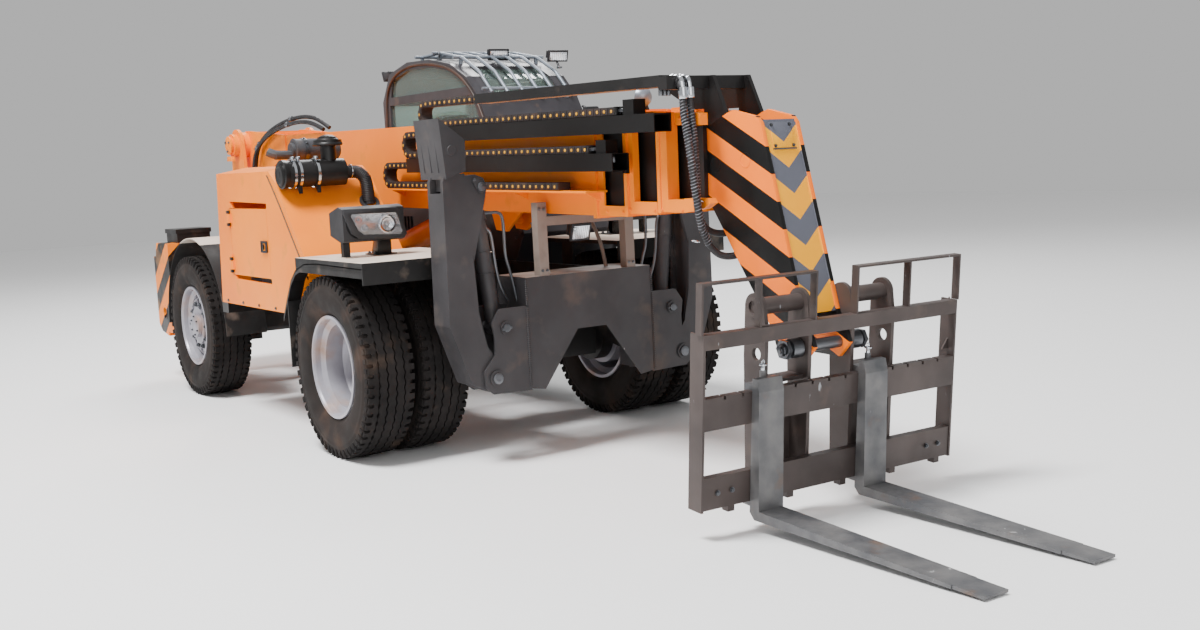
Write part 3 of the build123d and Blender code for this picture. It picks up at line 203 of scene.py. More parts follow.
def addLathe(profile, centre, axis, steps=48):
    # profile is a closed loop of (along the axis, radius)
    centre, axis = Vector(centre), Vector(axis).normalized()
    out = axis.orthogonal().normalized()
    deselectAll()
    bpy.ops.mesh.primitive_circle_add(vertices=len(profile), radius=1, fill_type="NOTHING")
    obj = bpy.context.object
    for vert, (along, radius) in zip(obj.data.vertices, profile):
        vert.co = centre + axis * along + out * radius
    editAll(obj)
    bpy.ops.mesh.spin(steps=steps, angle=math.tau, center=centre, axis=axis)
    fixNormals(obj)
    return obj


def addRing(centre, axis, radius, thick, steps=40, sideSteps=10):
    deselectAll()
    bpy.ops.mesh.primitive_torus_add(location=centre, major_radius=radius, minor_radius=thick,
                                     major_segments=steps, minor_segments=sideSteps,
                                     rotation=Vector(axis).to_track_quat("Z", "Y").to_euler())
    obj = bpy.context.object
    bakePlace(obj)
    return obj


def addTube(points, radius, steps=6, closed=False):
    data = bpy.data.curves.new("tube", "CURVE")
    data.dimensions = "3D"
    data.bevel_depth = radius
    data.bevel_resolution = 3
    data.resolution_u = steps
    data.use_fill_caps = True
    spline = data.splines.new("NURBS")
    spline.points.add(len(points) - 1)
    for point, place in zip(spline.points, points):
        point.co = (*place, 1)
    spline.order_u = 3
    spline.use_endpoint_u = True
    spline.use_cyclic_u = closed
    obj = bpy.data.objects.new("tube", data)
    bpy.context.scene.collection.objects.link(obj)
    pick(obj)
    bpy.ops.object.convert(target="MESH")
    obj = bpy.context.object
    fixNormals(obj)
    return obj


def joinPieces(parts):
    pick(parts[0])
    for part in parts:
        part.select_set(True)
    if len(parts) > 1:
        bpy.ops.object.join()
    return bpy.context.object


def addCopies(model, places):
    # the model stands at the origin; every copy has its own mesh
    parts = []
    for place in places:
        copy = bpy.data.objects.new("copy", model.data.copy())
        bpy.context.scene.collection.objects.link(copy)
        copy.data.transform(place)
        parts.append(copy)
    bpy.data.objects.remove(model)
    return joinPieces(parts)


def placeAt(centre, forward, up):
    # a matrix whose z axis is forward and whose y axis leans to up
    z = Vector(forward).normalized()
    x = Vector(up).cross(z).normalized()
    y = z.cross(x)
    matrix = Matrix((x, y, z)).transposed().to_4x4()
    matrix.translation = centre
    return matrix


def finishPiece(parts, name, body, material, smooth=35):
    parts = parts if isinstance(parts, list) else [parts]
    for part in parts:
        if not part.data.materials:
            part.data.materials.append(material)
    obj = joinPieces(parts)
    bakePlace(obj)
    obj.name = name
    obj.data.name = name
    bpy.ops.object.shade_smooth_by_angle(angle=math.radians(smooth))
    if body:
        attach(obj, body)
    return obj


def coat(part, material):
    part.data.materials.clear()
    part.data.materials.append(material)
    return part


# ---- finishes ----
def tone(red, green, blue):
    # a colour as the eye sees it, 0 to 255, turned into light
    return tuple((v / 255 / 12.92) if v < 11 else ((v / 255 + 0.055) / 1.055) ** 2.4
                 for v in (red, green, blue)) + (1,)


def addMath(tree, operation, first, second=0.0):
    node = tree.nodes.new("ShaderNodeMath")
    node.operation = operation
    for socket, value in zip(node.inputs, (first, second)):
        if isinstance(value, (int, float)):
            socket.default_value = value
        else:
            tree.links.new(value, socket)
    return node.outputs[0]


def addNoise(tree, vector, scale, detail=4.0, stretch=None):
    if stretch:
        mapping = tree.nodes.new("ShaderNodeMapping")
        mapping.inputs["Scale"].default_value = stretch
        tree.links.new(vector, mapping.inputs["Vector"])
        vector = mapping.outputs[0]
    node = tree.nodes.new("ShaderNodeTexNoise")
    node.inputs["Scale"].default_value = scale
    node.inputs["Detail"].default_value = detail
    tree.links.new(vector, node.inputs["Vector"])
    return node.outputs["Fac"]


def addRamp(tree, value, low, high, start=0.0, end=1.0):
    node = tree.nodes.new("ShaderNodeMapRange")
    node.inputs["From Min"].default_value = low
    node.inputs["From Max"].default_value = high
    node.inputs["To Min"].default_value = start
    node.inputs["To Max"].default_value = end
    tree.links.new(value, node.inputs["Value"])
    return node.outputs[0]


def addMix(tree, factor, first, second):
    node = tree.nodes.new("ShaderNodeMix")
    node.data_type = "RGBA"
    sockets = [s for s in node.inputs if s.type == "RGBA"]
    tree.links.new(factor, node.inputs["Factor"])
    for socket, value in zip(sockets, (first, second)):
        if isinstance(value, tuple):
            socket.default_value = value
        else:
            tree.links.new(value, socket)
    return next(s for s in node.outputs if s.type == "RGBA")


# dust lies in a soft film, and wear in scratches that run up and down
film = {"scale": 5.5, "detail": 8, "soft": 0.18, "most": 0.7, "rough": 1.1}
scratch = {"scale": 34, "detail": 9, "stretch": (1, 1, 0.3), "patch": 2.2, "lift": 0.5,
           "soft": 0.05}


def makeFinish(name, light, dark, rough=(0.35, 0.5), metal=0.0, patch=2.5, grain=90.0,
               bump=0.15, dust=None, dustFrom=0.56, wear=None, wearFrom=0.66, coatWeight=0.0,
               pattern=None, through=0.0, shine=0.4):
    # light and dark are the paint's two shades, dust and wear lie over it in patches
    mat = bpy.data.materials.new(name)
    mat.use_nodes = True
    tree = mat.node_tree
    shader = tree.nodes["Principled BSDF"]
    coord = tree.nodes.new("ShaderNodeTexCoord").outputs["Object"]
    colour = addMix(tree, addRamp(tree, addNoise(tree, coord, patch, 5), 0.35, 0.65), dark, light)
    if pattern:
        colour = pattern(tree, coord, colour)
    fine = addNoise(tree, coord, grain, 3)
    roughness = addRamp(tree, addNoise(tree, coord, patch * 3, 6), 0.3, 0.7, rough[0], rough[1])
    if dust:
        mask = addRamp(tree, addNoise(tree, coord, film["scale"], film["detail"]), dustFrom,
                       dustFrom + film["soft"], 0, film["most"])
        colour = addMix(tree, mask, colour, dust)
        dull = addMath(tree, "MULTIPLY", mask, film["rough"])
        roughness = addMath(tree, "MAXIMUM", roughness, dull)
    if wear:
        fleck = addNoise(tree, coord, scratch["scale"], scratch["detail"], scratch["stretch"])
        area = addMath(tree, "ADD", addNoise(tree, coord, scratch["patch"], 3), scratch["lift"])
        mask = addRamp(tree, addMath(tree, "MULTIPLY", fleck, area), wearFrom,
                       wearFrom + scratch["soft"])
        colour = addMix(tree, mask, colour, wear)
    tree.links.new(colour, shader.inputs["Base Color"])
    tree.links.new(roughness, shader.inputs["Roughness"])
    shader.inputs["Metallic"].default_value = metal
    shader.inputs["Coat Weight"].default_value = coatWeight
    shader.inputs["Coat Roughness"].default_value = 0.12
    shader.inputs["Transmission Weight"].default_value = through
    shader.inputs["Specular IOR Level"].default_value = shine
    node = tree.nodes.new("ShaderNodeBump")
    node.inputs["Strength"].default_value = bump
    node.inputs["Distance"].default_value = 0.002
    tree.links.new(fine, node.inputs["Height"])
    tree.links.new(node.outputs[0], shader.inputs["Normal"])
    return mat


shades = {
    "yellow": tone(255, 138, 0),
    "yellowDeep": tone(246, 124, 0),
    "black": tone(24, 22, 22),
    "blackDeep": tone(13, 12, 12),
    "charcoal": tone(60, 58, 60),
    "charcoalDeep": tone(45, 43, 45),
    "bare": tone(150, 152, 156),
}


def splitPlace(tree, coord):
    node = tree.nodes.new("ShaderNodeSeparateXYZ")
    tree.links.new(coord, node.inputs[0])
    return node.outputs


# painted bars: where they start, how they slope, and the height of a dark and a bright one
bars = {
    "nose": {"start": 3.005, "slope": 0.505, "pitch": 0.2155},
    "chevron": {"start": 1.798, "slope": 0.8, "pitch": 0.236},
    "rear": {"slope": -0.8, "pitch": 0.3},
}


def addBars(tree, run, pitch, bright, dark):
    turn = addMath(tree, "FRACT", addMath(tree, "DIVIDE", run, pitch))
    return addMix(tree, addMath(tree, "LESS_THAN", turn, 0.5), bright, dark)


def nosePattern(tree, coord, colour):
    # bars that fall forward
    b = bars["nose"]
    x, y, z = splitPlace(tree, coord)
    height = addMath(tree, "ADD", z, addMath(tree, "MULTIPLY", x, b["slope"]))
    run = addMath(tree, "SUBTRACT", b["start"], height)
    return addBars(tree, run, b["pitch"], colour, shades["blackDeep"])


def chevronHighlightPattern(tree, coord, colour):
    # arrowheads that point down; the dark bars are grey where the nose sides' bars are black, a
    # painted highlight on the lit front face
    b = bars["chevron"]
    x, y, z = splitPlace(tree, coord)
    aside = addMath(tree, "MULTIPLY", addMath(tree, "ABSOLUTE", y), b["slope"])
    run = addMath(tree, "SUBTRACT", b["start"], addMath(tree, "SUBTRACT", z, aside))
    return addBars(tree, run, b["pitch"], colour, tone(92, 94, 104))


def rearPattern(tree, coord, colour):
    # warning bars on the rear weight, leaning outwards from its middle
    b = bars["rear"]
    x, y, z = splitPlace(tree, coord)
    height = addMath(tree, "ADD", z, addMath(tree, "MULTIPLY", x, b["slope"]))
    run = addMath(tree, "ADD", height, addMath(tree, "ABSOLUTE", y))
    return addBars(tree, run, b["pitch"], colour, shades["blackDeep"])


def headPattern(start):
    # the tube is black ahead of u = start, and the boxes on its right side stay bright
    def paint(tree, coord, colour):
        slope = math.tan(boomFrame["droop"])
        edge = alongBoom(start, 0, 0)
        x, y, z = splitPlace(tree, coord)
        along = addMath(tree, "SUBTRACT", x, addMath(tree, "MULTIPLY", z, slope))
        ahead = addMath(tree, "GREATER_THAN", along, edge.x - edge.z * slope)
        beside = addMath(tree, "GREATER_THAN", y, -0.252)
        return addMix(tree, addMath(tree, "MULTIPLY", ahead, beside), shades["blackDeep"], colour)
    return paint


def topPattern(level, top):
    # a dusty tread surface on faces at this height
    def paint(tree, coord, colour):
        x, y, z = splitPlace(tree, coord)
        return addMix(tree, addMath(tree, "GREATER_THAN", z, level), colour, top)
    return paint


yellowPaint = makeFinish("yellowPaint", shades["yellow"], shades["yellowDeep"], (0.36, 0.5),
                         patch=1.4, dust=tone(206, 128, 34), dustFrom=0.62, shine=0.3,
                         bump=0.05)
section2Paint = makeFinish("section2Paint", shades["yellow"], shades["yellowDeep"], (0.36, 0.5),
                           patch=1.4, shine=0.3, bump=0.05, pattern=headPattern(5.46))
section3Paint = makeFinish("section3Paint", shades["yellow"], shades["yellowDeep"], (0.36, 0.5),
                           patch=1.4, shine=0.3, bump=0.05, pattern=headPattern(5.73))
blackPaint = makeFinish("blackPaint", shades["black"], shades["blackDeep"], (0.32, 0.5),
                        dust=tone(70, 56, 47), dustFrom=0.62, bump=0.08)
greyPaint = makeFinish("greyPaint", shades["charcoal"], shades["charcoalDeep"], (0.42, 0.6),
                       dust=tone(88, 78, 72), dustFrom=0.6, wear=shades["bare"], wearFrom=0.78,
                       bump=0.1)
rackPaint = makeFinish("rackPaint", tone(82, 72, 69), tone(62, 54, 52), (0.4, 0.6), metal=0.2,
                       dust=tone(102, 86, 76), dustFrom=0.6, wear=shades["bare"], wearFrom=0.76,
                       bump=0.1)
cabPaint = makeFinish("cabPaint", tone(58, 56, 60), tone(40, 38, 42), (0.3, 0.45),
                      dust=tone(110, 88, 72), dustFrom=0.62, coatWeight=0.3, bump=0.05)
tubePaint = makeFinish("tubePaint", tone(150, 158, 168), tone(116, 124, 134), (0.3, 0.45),
                       metal=0.5, bump=0.05)
forkSteel = makeFinish("forkSteel", tone(112, 111, 111), tone(82, 83, 86), (0.35, 0.6), metal=0.35,
                       patch=6, dust=tone(116, 84, 60), dustFrom=0.6, wear=tone(170, 170, 170),
                       wearFrom=0.76, bump=0.2)
pinSteel = makeFinish("pinSteel", tone(120, 122, 126), tone(84, 86, 90), (0.28, 0.5), metal=0.9,
                      dust=tone(110, 84, 64), dustFrom=0.62, bump=0.1)
chrome = makeFinish("chrome", tone(225, 228, 232), tone(190, 194, 200), (0.08, 0.2), metal=1.0,
                    bump=0.02)
rimPaint = makeFinish("rimPaint", tone(172, 170, 178), tone(142, 140, 148), (0.3, 0.5), metal=0.35,
                      patch=3, dust=tone(176, 140, 116), dustFrom=0.55, bump=0.05)
rubber = makeFinish("rubber", tone(42, 35, 32), tone(26, 23, 22), (0.7, 0.9), patch=3,
                    dust=tone(72, 54, 44), dustFrom=0.55, grain=180, bump=0.3, shine=0.25)
treadRubber = makeFinish("treadRubber", tone(34, 30, 29), tone(20, 18, 18), (0.75, 0.95), patch=6,
                         dust=tone(74, 60, 50), dustFrom=0.6, grain=160, bump=0.4, shine=0.2)
hoseRubber = makeFinish("hoseRubber", tone(44, 42, 44), tone(26, 26, 28), (0.45, 0.65), patch=8,
                        dust=tone(96, 82, 74), dustFrom=0.62, grain=300, bump=0.25)
linkPlastic = makeFinish("linkPlastic", tone(50, 40, 38), tone(34, 28, 27), (0.5, 0.7), patch=5,
                         dust=tone(96, 74, 60), dustFrom=0.6, grain=220, bump=0.15)
goldCap = makeFinish("goldCap", tone(236, 178, 62), tone(206, 146, 40), (0.3, 0.5), metal=0.3,
                     patch=20, bump=0.05)
darkPlastic = makeFinish("darkPlastic", tone(44, 43, 46), tone(30, 30, 32), (0.5, 0.7), grain=260,
                         bump=0.2)
castIron = makeFinish("castIron", tone(96, 96, 98), tone(66, 66, 70), (0.5, 0.75), metal=0.5,
                      dust=tone(112, 90, 72), grain=140, bump=0.35)
deckPaint = makeFinish("deckPaint", shades["black"], shades["blackDeep"], (0.5, 0.75),
                       dust=tone(120, 104, 92), dustFrom=0.58, bump=0.2,
                       pattern=topPattern(1.1495, tone(206, 192, 178)))
frontPaint = makeFinish("frontPaint", shades["charcoal"], shades["charcoalDeep"], (0.42, 0.6),
                        dust=tone(86, 72, 64), dustFrom=0.6, wear=shades["bare"], wearFrom=0.79,
                        bump=0.1, pattern=topPattern(1.0155, tone(120, 108, 100)))
weightPaint = makeFinish("weightPaint", shades["yellow"], shades["yellowDeep"], (0.35, 0.5),
                         dust=tone(170, 120, 70), dustFrom=0.6, bump=0.15, pattern=rearPattern)
nosePaint = makeFinish("nosePaint", tone(255, 124, 0), tone(242, 110, 0), (0.32, 0.46), patch=1.4,
                       shine=0.3, bump=0.04, pattern=nosePattern)
# painted highlight: the front face's yellow is brighter than nosePaint's, a lit copy of the same
# paint
chevronHighlightPaint = makeFinish("chevronHighlightPaint", tone(255, 178, 0), tone(250, 164, 0), (0.32, 0.46),
                          patch=1.4, shine=0.35, bump=0.04, pattern=chevronHighlightPattern)
seatCloth = makeFinish("seatCloth", tone(62, 60, 64), tone(46, 44, 48), (0.8, 0.95), patch=12,
                       grain=420, bump=0.6)
paneGlass = makeFinish("paneGlass", tone(206, 226, 216), tone(186, 212, 204), (0.02, 0.06),
                       patch=1.0, grain=20, bump=0.01, through=0.92)
lensGlass = makeFinish("lensGlass", tone(250, 250, 250), tone(238, 240, 244), (0.02, 0.08),
                       patch=6, grain=40, bump=0.15, through=0.9)
mirrorMetal = makeFinish("mirrorMetal", tone(236, 236, 238), tone(206, 208, 214), (0.06, 0.2),
                         metal=1.0, patch=12, bump=0.02)
amberLens = makeFinish("amberLens", tone(214, 92, 40), tone(176, 60, 24), (0.1, 0.25), patch=9,
                       bump=0.05)

guardPlastic = makeFinish("guardPlastic", tone(128, 130, 138), tone(56, 56, 60), (0.35, 0.55),
                          patch=34)
trimRubber = makeFinish("trimRubber", tone(70, 52, 44), tone(48, 38, 34), (0.4, 0.6), patch=6)


def bothHands(*names):
    return [name + "_" + hand for name in names for hand, sign in sides]


nodeFinish = {
    yellowPaint: ["boom_outer", "boom_towers", "hood", "hood_door", "lift_barrel"],
    section2Paint: ["boom_section_2"],
    section3Paint: ["boom_section_3"],
    blackPaint: ["chassis_frame", "rear_axle", "front_axle", "boom_section_4", "side_tank",
                 "hood_hinges", "cab_hinges", "air_cleaner", "rear_boxes"]
    + bothHands("knuckle"),
    greyPaint: bothHands("stabiliser_leg", "stabiliser_barrel"),
    frontPaint: ["front_frame"],
    rackPaint: ["carriage", "load_guards"],
    cabPaint: ["cab_frame", "cab_door"],
    tubePaint: ["cab_guard"],
    forkSteel: bothHands("fork"),
    pinSteel: ["carriage_pin"],
    chrome: ["lift_rod", "steering_rod"] + bothHands("stabiliser_rod"),
    rimPaint: bothHands("front_rims", "rear_rim"),
    hoseRubber: ["nose_hoses"],
    linkPlastic: ["chain_" + part + "_" + name for part in ("run", "loop") for name in "abc"],
    darkPlastic: ["cab_interior", "headlamps"],
    castIron: ["engine_block", "exhaust"],
    deckPaint: ["mudguards"],
    weightPaint: ["counterweight"],
    paneGlass: ["cab_glass", "cab_door_glass"],
    rubber: bothHands("front_tyres", "rear_tyre"),
}
for material, names in nodeFinish.items():
    for name in names:
        mesh = nodes[name].data
        if not mesh.materials:
            mesh.materials.append(material)
        for index in range(len(mesh.materials)):
            mesh.materials[index] = material
print("finishes ready")
# ---- small repeated parts ----
def onSide(point, sign):
    # a place from the front axle, on the right of the machine where sign is -1
    x, y, z = point
    return fromAxle(x, sign * y, z)


def nutModel(radius, height):
    washer = addRod((0, 0, 0), (0, 0, height * 0.15), radius * 1.25, 0, 16)
    nut = addRod((0, 0, height * 0.15), (0, 0, height), radius, radius * 0.12, 6)
    stud = addRod((0, 0, height), (0, 0, height * 1.5), radius * 0.5, radius * 0.1, 12)
    return joinPieces([washer, nut, stud])


def addNuts(places, radius, height):
    return coat(addCopies(nutModel(radius, height), places), pinSteel)


def addBand(spot, axis, inner, outer, half, steps=48):
    return addLathe([(-half, inner), (half, inner), (half, outer), (-half, outer)], spot, axis,
                    steps)


# ---- tyres ----
tyre = {
    "radius": 0.530,
    "grooveRadius": 0.512,
    "ribRoot": 0.004,
    "pitches": 58,
    "zigzag": 0.0045,
    "frontMiddles": (0.748, 1.088),
    "rearMiddle": 0.943,
    "rearX": -3.0,
    # ribs: the two edges, depth below the tread's top
    "ribs": ((-0.022, 0.022, 0.0), (0.031, 0.072, 0.001), (-0.072, -0.031, 0.001)),
    # shoulder block: half pitches round the tyre, distance from its middle, share of the zigzag
    "shoulder": ((-1, 0.081, 1), (0, 0.081, -1), (1, 0.081, 1), (1, 0.104, 0), (0.62, 0.109, 0),
                 (0.56, 0.137, 0), (-0.56, 0.137, 0), (-0.62, 0.109, 0), (-1, 0.104, 0)),
    "shoulderDepth": (0.012, 0.004),
    # lug on the side wall, and the radii between which it stands
    "lug": ((-0.5, 0.130), (0.5, 0.130), (0.42, 0.1435), (-0.42, 0.1435)),
    "lugRadii": (0.476, 0.510),
    # half of the section: distance from the tyre's middle, radius
    "wall": ((0.113, 0.2858), (0.113, 0.304), (0.122, 0.312), (0.126, 0.322), (0.131, 0.326),
             (0.139, 0.345), (0.147, 0.378), (0.149, 0.405), (0.148, 0.428), (0.1455, 0.446),
             (0.1465, 0.449), (0.1445, 0.458), (0.1405, 0.470), (0.1415, 0.473), (0.138, 0.486),
             (0.134, 0.500), (0.120, 0.510), (0.060, 0.5125)),
}


def addTyre(t, centre):
    wall = t["wall"]
    profile = list(wall) + [(-along, radius) for along, radius in reversed(wall)]
    body = coat(addLathe(profile, centre, (0, 1, 0), steps=96), rubber)
    halfPitch = math.pi * t["radius"] / t["pitches"]
    base, top = t["grooveRadius"] - t["ribRoot"], t["radius"]
    blocks = []
    for inner, outer, depth in t["ribs"]:
        outline = [(step * halfPitch, y + t["zigzag"] * (1 if step else -1)) for step, y in (
            (-1, inner), (0, inner), (1, inner), (1, outer), (0, outer), (-1, outer))]
        blocks.append((outline, base, top - depth))
    low, high = t["shoulderDepth"]
    for sign in (-1, 1):
        outline = [(step * halfPitch, sign * (y + share * t["zigzag"]))
                   for step, y, share in t["shoulder"]]
        blocks.append((outline, base - low, top - high))
        blocks.append(([(step * halfPitch, sign * y) for step, y in t["lug"]], *t["lugRadii"]))
    tread = joinPieces([addPlate([centre + Vector((x, y, low)) for x, y in outline],
                                 (0, 0, high - low), 0) for outline, low, high in blocks])
    editAll(tread)
    bpy.ops.mesh.spin(steps=t["pitches"] - 1, dupli=True, center=centre, axis=(0, 1, 0),
                      angle=math.tau * (t["pitches"] - 1) / t["pitches"])
    bpy.ops.object.mode_set(mode="OBJECT")
    return [body, coat(tread, treadRubber)]


def addTyres(t):
    for hand, sign in sides:
        parts = []
        for middle in t["frontMiddles"]:
            parts += addTyre(t, fromAxle(0, sign * middle, t["radius"]))
        obj = finishPiece(parts, "front_tread_" + hand, "front_wheels_" + hand, rubber)
        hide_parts("front_tyres_" + hand)
        parts = addTyre(t, fromAxle(t["rearX"], sign * t["rearMiddle"], t["radius"]))
        obj = finishPiece(parts, "rear_tread_" + hand, "rear_wheel_" + hand, rubber)
        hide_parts("rear_tyre_" + hand)


addTyres(tyre)
print("tyres ready")

# ---- wheel nuts and hubs ----
wheelNuts = {
    "count": 10,
    "circle": 0.165,
    "nut": (0.017, 0.018),
    # hub cover: step out from the hub's end, share of its radius
    "cover": ((0.0, 0.0), (0.006, 0.0), (0.005, 0.55), (0.001, 0.62), (0.001, 0.9),
              (-0.012, 1.02), (-0.012, 0.0)),
    "coverBolts": 6,
    "coverCircle": 0.76,
    "coverBolt": (0.007, 0.008),
    # body, x, face of the disc, end of the hub, radius of the hub
    "ends": {
        "front": ("front_wheels_", 0.0, 0.932, 1.036, 0.112),
        "rear": ("rear_wheel_", -3.0, 1.021, 1.062, 0.092),
    },
}


def spotsRound(count, radius, start=0.0):
    turns = [math.tau * (n + start) / count for n in range(count)]
    return [Vector((math.cos(turn), 0, math.sin(turn))) * radius for turn in turns]


def addWheelNuts(w):
    for hand, sign in sides:
        out = Vector((0, sign, 0))
        for end, (body, x, face, hubEnd, hubRadius) in w["ends"].items():
            hub = fromAxle(x, 0, tyre["radius"])
            nuts = addNuts([placeAt(hub + out * face + spot, out, spot)
                            for spot in spotsRound(w["count"], w["circle"])], *w["nut"])
            cover = addLathe([(sign * (hubEnd + step), hubRadius * share)
                              for step, share in w["cover"]], hub, (0, 1, 0), 40)
            circle = spotsRound(w["coverBolts"], hubRadius * w["coverCircle"], 0.5)
            bolts = addNuts([placeAt(hub + out * (hubEnd + 0.001) + spot, out, spot)
                             for spot in circle], *w["coverBolt"])
            finishPiece([nuts, coat(cover, rimPaint), bolts], end + "_wheel_nuts_" + hand,
                        body + hand, pinSteel)


addWheelNuts(wheelNuts)
print("wheel nuts ready")

# ---- energy chains ----
chain = {
    "y": -0.320,
    "half": 0.0385,
    "pitch": 0.0625,
    "radius": 0.0625,
    "plate": (0.055, 0.036, 0.003),
    "capRadius": 0.0085,
    # links: on the fixed run, from the front to the bend, and behind the fixed run
    "fixedLinks": 26,
    "linksToBend": 33,
    "lowerLinks": 7,
    "bendTurns": (30, 90, 150),
    # name, body of the run, lower height, upper height, front, links in the upper run
    "runs": (
        ("a", "section_3", 0.059, 0.184, 1.730, 38),
        ("b", "section_2", -0.125, 0.000, 1.480, 31),
        ("c", "boom", -0.315, -0.190, 1.175, 32),
    ),
}


def linkModel(c):
    length, height, thick = c["plate"]
    plate = addBar((-length / 2, -height / 2, -0.002), (length / 2, height / 2, thick), 0.002)
    cap = addRod((0, 0, 0), (0, 0, thick + 0.003), c["capRadius"], 0.0015, 10)
    return joinPieces([coat(plate, linkPlastic), coat(cap, goldCap)])


def linkPlaces(c, spots):
    # spots are (u, w, turn), on both faces of the chain
    places = []
    for u, w, turn in spots:
        lean = boomFrame["droop"] + turn
        for sign in (-1, 1):
            spot = alongBoom(u, c["y"] + sign * c["half"], w)
            places.append(placeAt(spot, (0, sign, 0), (math.sin(lean), 0, math.cos(lean))))
    return places


def addChains(c):
    pitch = c["pitch"]
    for name, body, low, high, front, upper in c["runs"]:
        frontU = front - boomFrame["pinX"]
        bendU = frontU - c["linksToBend"] * pitch
        fixed = [(frontU - (n + 0.5) * pitch, low, 0) for n in range(c["fixedLinks"])]
        moving = [(bendU + (n + 0.5) * pitch, w, 0)
                  for w, count in ((low, c["lowerLinks"]), (high, upper)) for n in range(count)]
        for turn in c["bendTurns"]:
            a = math.radians(turn)
            moving.append((bendU - c["radius"] * math.sin(a),
                           (low + high) / 2 + c["radius"] * math.cos(a), -a))
        for spots, piece, rides in ((fixed, "chain_links_fixed_", body),
                                    (moving, "chain_links_loop_", "chain_loop_" + name)):
            obj = addCopies(linkModel(c), linkPlaces(c, spots))
            finishPiece(obj, piece + name, rides, linkPlastic)


addChains(chain)
print("chains ready")

# ---- nose ----
nose = {
    "side": ((2.130, 1.764), (2.124, 1.555), (2.128, 1.440), (2.165, 1.383), (2.253, 1.262),
             (2.340, 1.136), (2.555, 0.840), (2.610, 0.700), (2.770, 0.696), (2.839, 0.765),
             (2.800, 0.860), (2.765, 0.900), (2.731, 1.027), (2.530, 1.769), (2.505, 1.799),
             (2.338, 1.837), (2.297, 1.826)),
    "front": ((2.757, 0.908), (2.729, 1.020), (2.519, 1.783), (2.507, 1.780), (2.717, 1.017),
              (2.745, 0.905)),
    "sideY": (0.098, 0.118),
    "skin": 0.0018,
    # plugs on each side: x, z
    "plugs": ((2.418, 1.605), (2.197, 1.587)),
    "plugRing": (0.034, 0.0014),
    # the front face's upper end, and how far it runs forward as it falls
    "faceTop": (2.519, 1.783),
    "faceRun": (0.210, 0.763),
    # cover plate on the front: half width, low and high edge, thickness
    "cover": (0.066, 1.652, 1.772, 0.003),
    "lip": (0.070, 1.648, 0.004),
    "boltY": 0.055,
    "boltZ": (1.758, 1.662),
    "seam": (0.096, 1.770, 1.03),
}


def fatten(obj, amount):
    editAll(obj)
    bpy.ops.transform.shrink_fatten(value=amount)
    bpy.ops.object.mode_set(mode="OBJECT")


def addNose(n):
    inner, outer = n["sideY"]
    for hand, sign in sides:
        skin = addPlate([fromAxle(x, sign * inner, z) for x, z in n["side"]],
                        (0, sign * (outer - inner), 0), 0)
        fatten(skin, n["skin"])
        softenEdges(skin, 0.0015)
        rings = [addRing(fromAxle(x, sign * (outer + n["skin"]), z), (0, 1, 0), *n["plugRing"], 32,
                         6) for x, z in n["plugs"]]
        finishPiece([skin] + rings, "nose_skin_" + hand, "section_4", nosePaint)
    face = addPlate([fromAxle(x, 0.002 - inner, z) for x, z in n["front"]],
                    (0, 2 * inner - 0.004, 0), 0)
    fatten(face, n["skin"])
    topX, topZ = n["faceTop"]
    run, fall = n["faceRun"]
    down = Vector((run, 0, -fall)).normalized()
    out = Vector((fall, 0, run)).normalized()

    def onFace(y, z, lift):
        return fromAxle(topX + (topZ - z) * run / fall, y, z) + out * (0.0015 + lift)

    half, low, high, thick = n["cover"]
    cover = addPlate([onFace(y, z, 0) for y, z in ((-half, low), (half, low), (half, high),
                                                   (-half, high))], out * thick, 0.001)
    half, z, radius = n["lip"]
    lip = addRod(onFace(-half, z, thick), onFace(half, z, thick), radius, 0.001, 12)
    bolts = addNuts([placeAt(onFace(sign * n["boltY"], z, thick), out, down)
                     for sign in (-1, 1) for z in n["boltZ"]], 0.007, 0.007)
    half, high, low = n["seam"]
    seams = [addRod(onFace(sign * half, high, 0.001), onFace(sign * half, low, 0.001), 0.003, 0, 8)
             for sign in (-1, 1)]
    finishPiece([face, cover, coat(lip, pinSteel), bolts] + seams, "nose_front", "section_4",
                chevronHighlightPaint)


addNose(nose)
print("nose ready")

# ---- nose hoses ----
noseHoses = {
    "wrapPitch": 0.0145,
    "wrapRadius": 0.0185,
    "wrap": 0.0022,
    "wrapLean": (0.12, 0.25, 0),
    # control points in metres from the front axle
    "lines": (
        ((2.194, -0.300, 1.951), (2.200, -0.300, 1.860), (2.227, -0.300, 1.715),
         (2.243, -0.297, 1.596), (2.246, -0.285, 1.477), (2.245, -0.268, 1.371),
         (2.234, -0.240, 1.285), (2.233, -0.200, 1.211)),
        ((2.184, -0.257, 1.951), (2.204, -0.257, 1.830), (2.216, -0.257, 1.700),
         (2.220, -0.257, 1.594), (2.222, -0.257, 1.475), (2.222, -0.257, 1.395)),
    ),
    # elbows over the tray's end: x, z
    "elbow": ((2.120, 2.000), (2.165, 2.010), (2.198, 1.992), (2.202, 1.940)),
    "elbowRadius": 0.0125,
    # y of an elbow, low end of its sleeve
    "elbows": ((-0.300, 1.900), (-0.257, 1.905)),
    "clamps": ((2.226, -0.280, 1.236), (2.226, -0.237, 1.420)),
}


def addWrap(h, line):
    # rings of the spiral guard, at even steps between the line's points
    parts = []
    for start, end in zip(line[:-1], line[1:]):
        start, end = fromAxle(*start), fromAxle(*end)
        count = max(1, round((end - start).length / h["wrapPitch"]))
        axis = (end - start).normalized() + Vector(h["wrapLean"])
        parts += [addRing(start.lerp(end, n / count), axis, h["wrapRadius"], h["wrap"], 14, 5)
                  for n in range(count)]
    return joinPieces(parts)


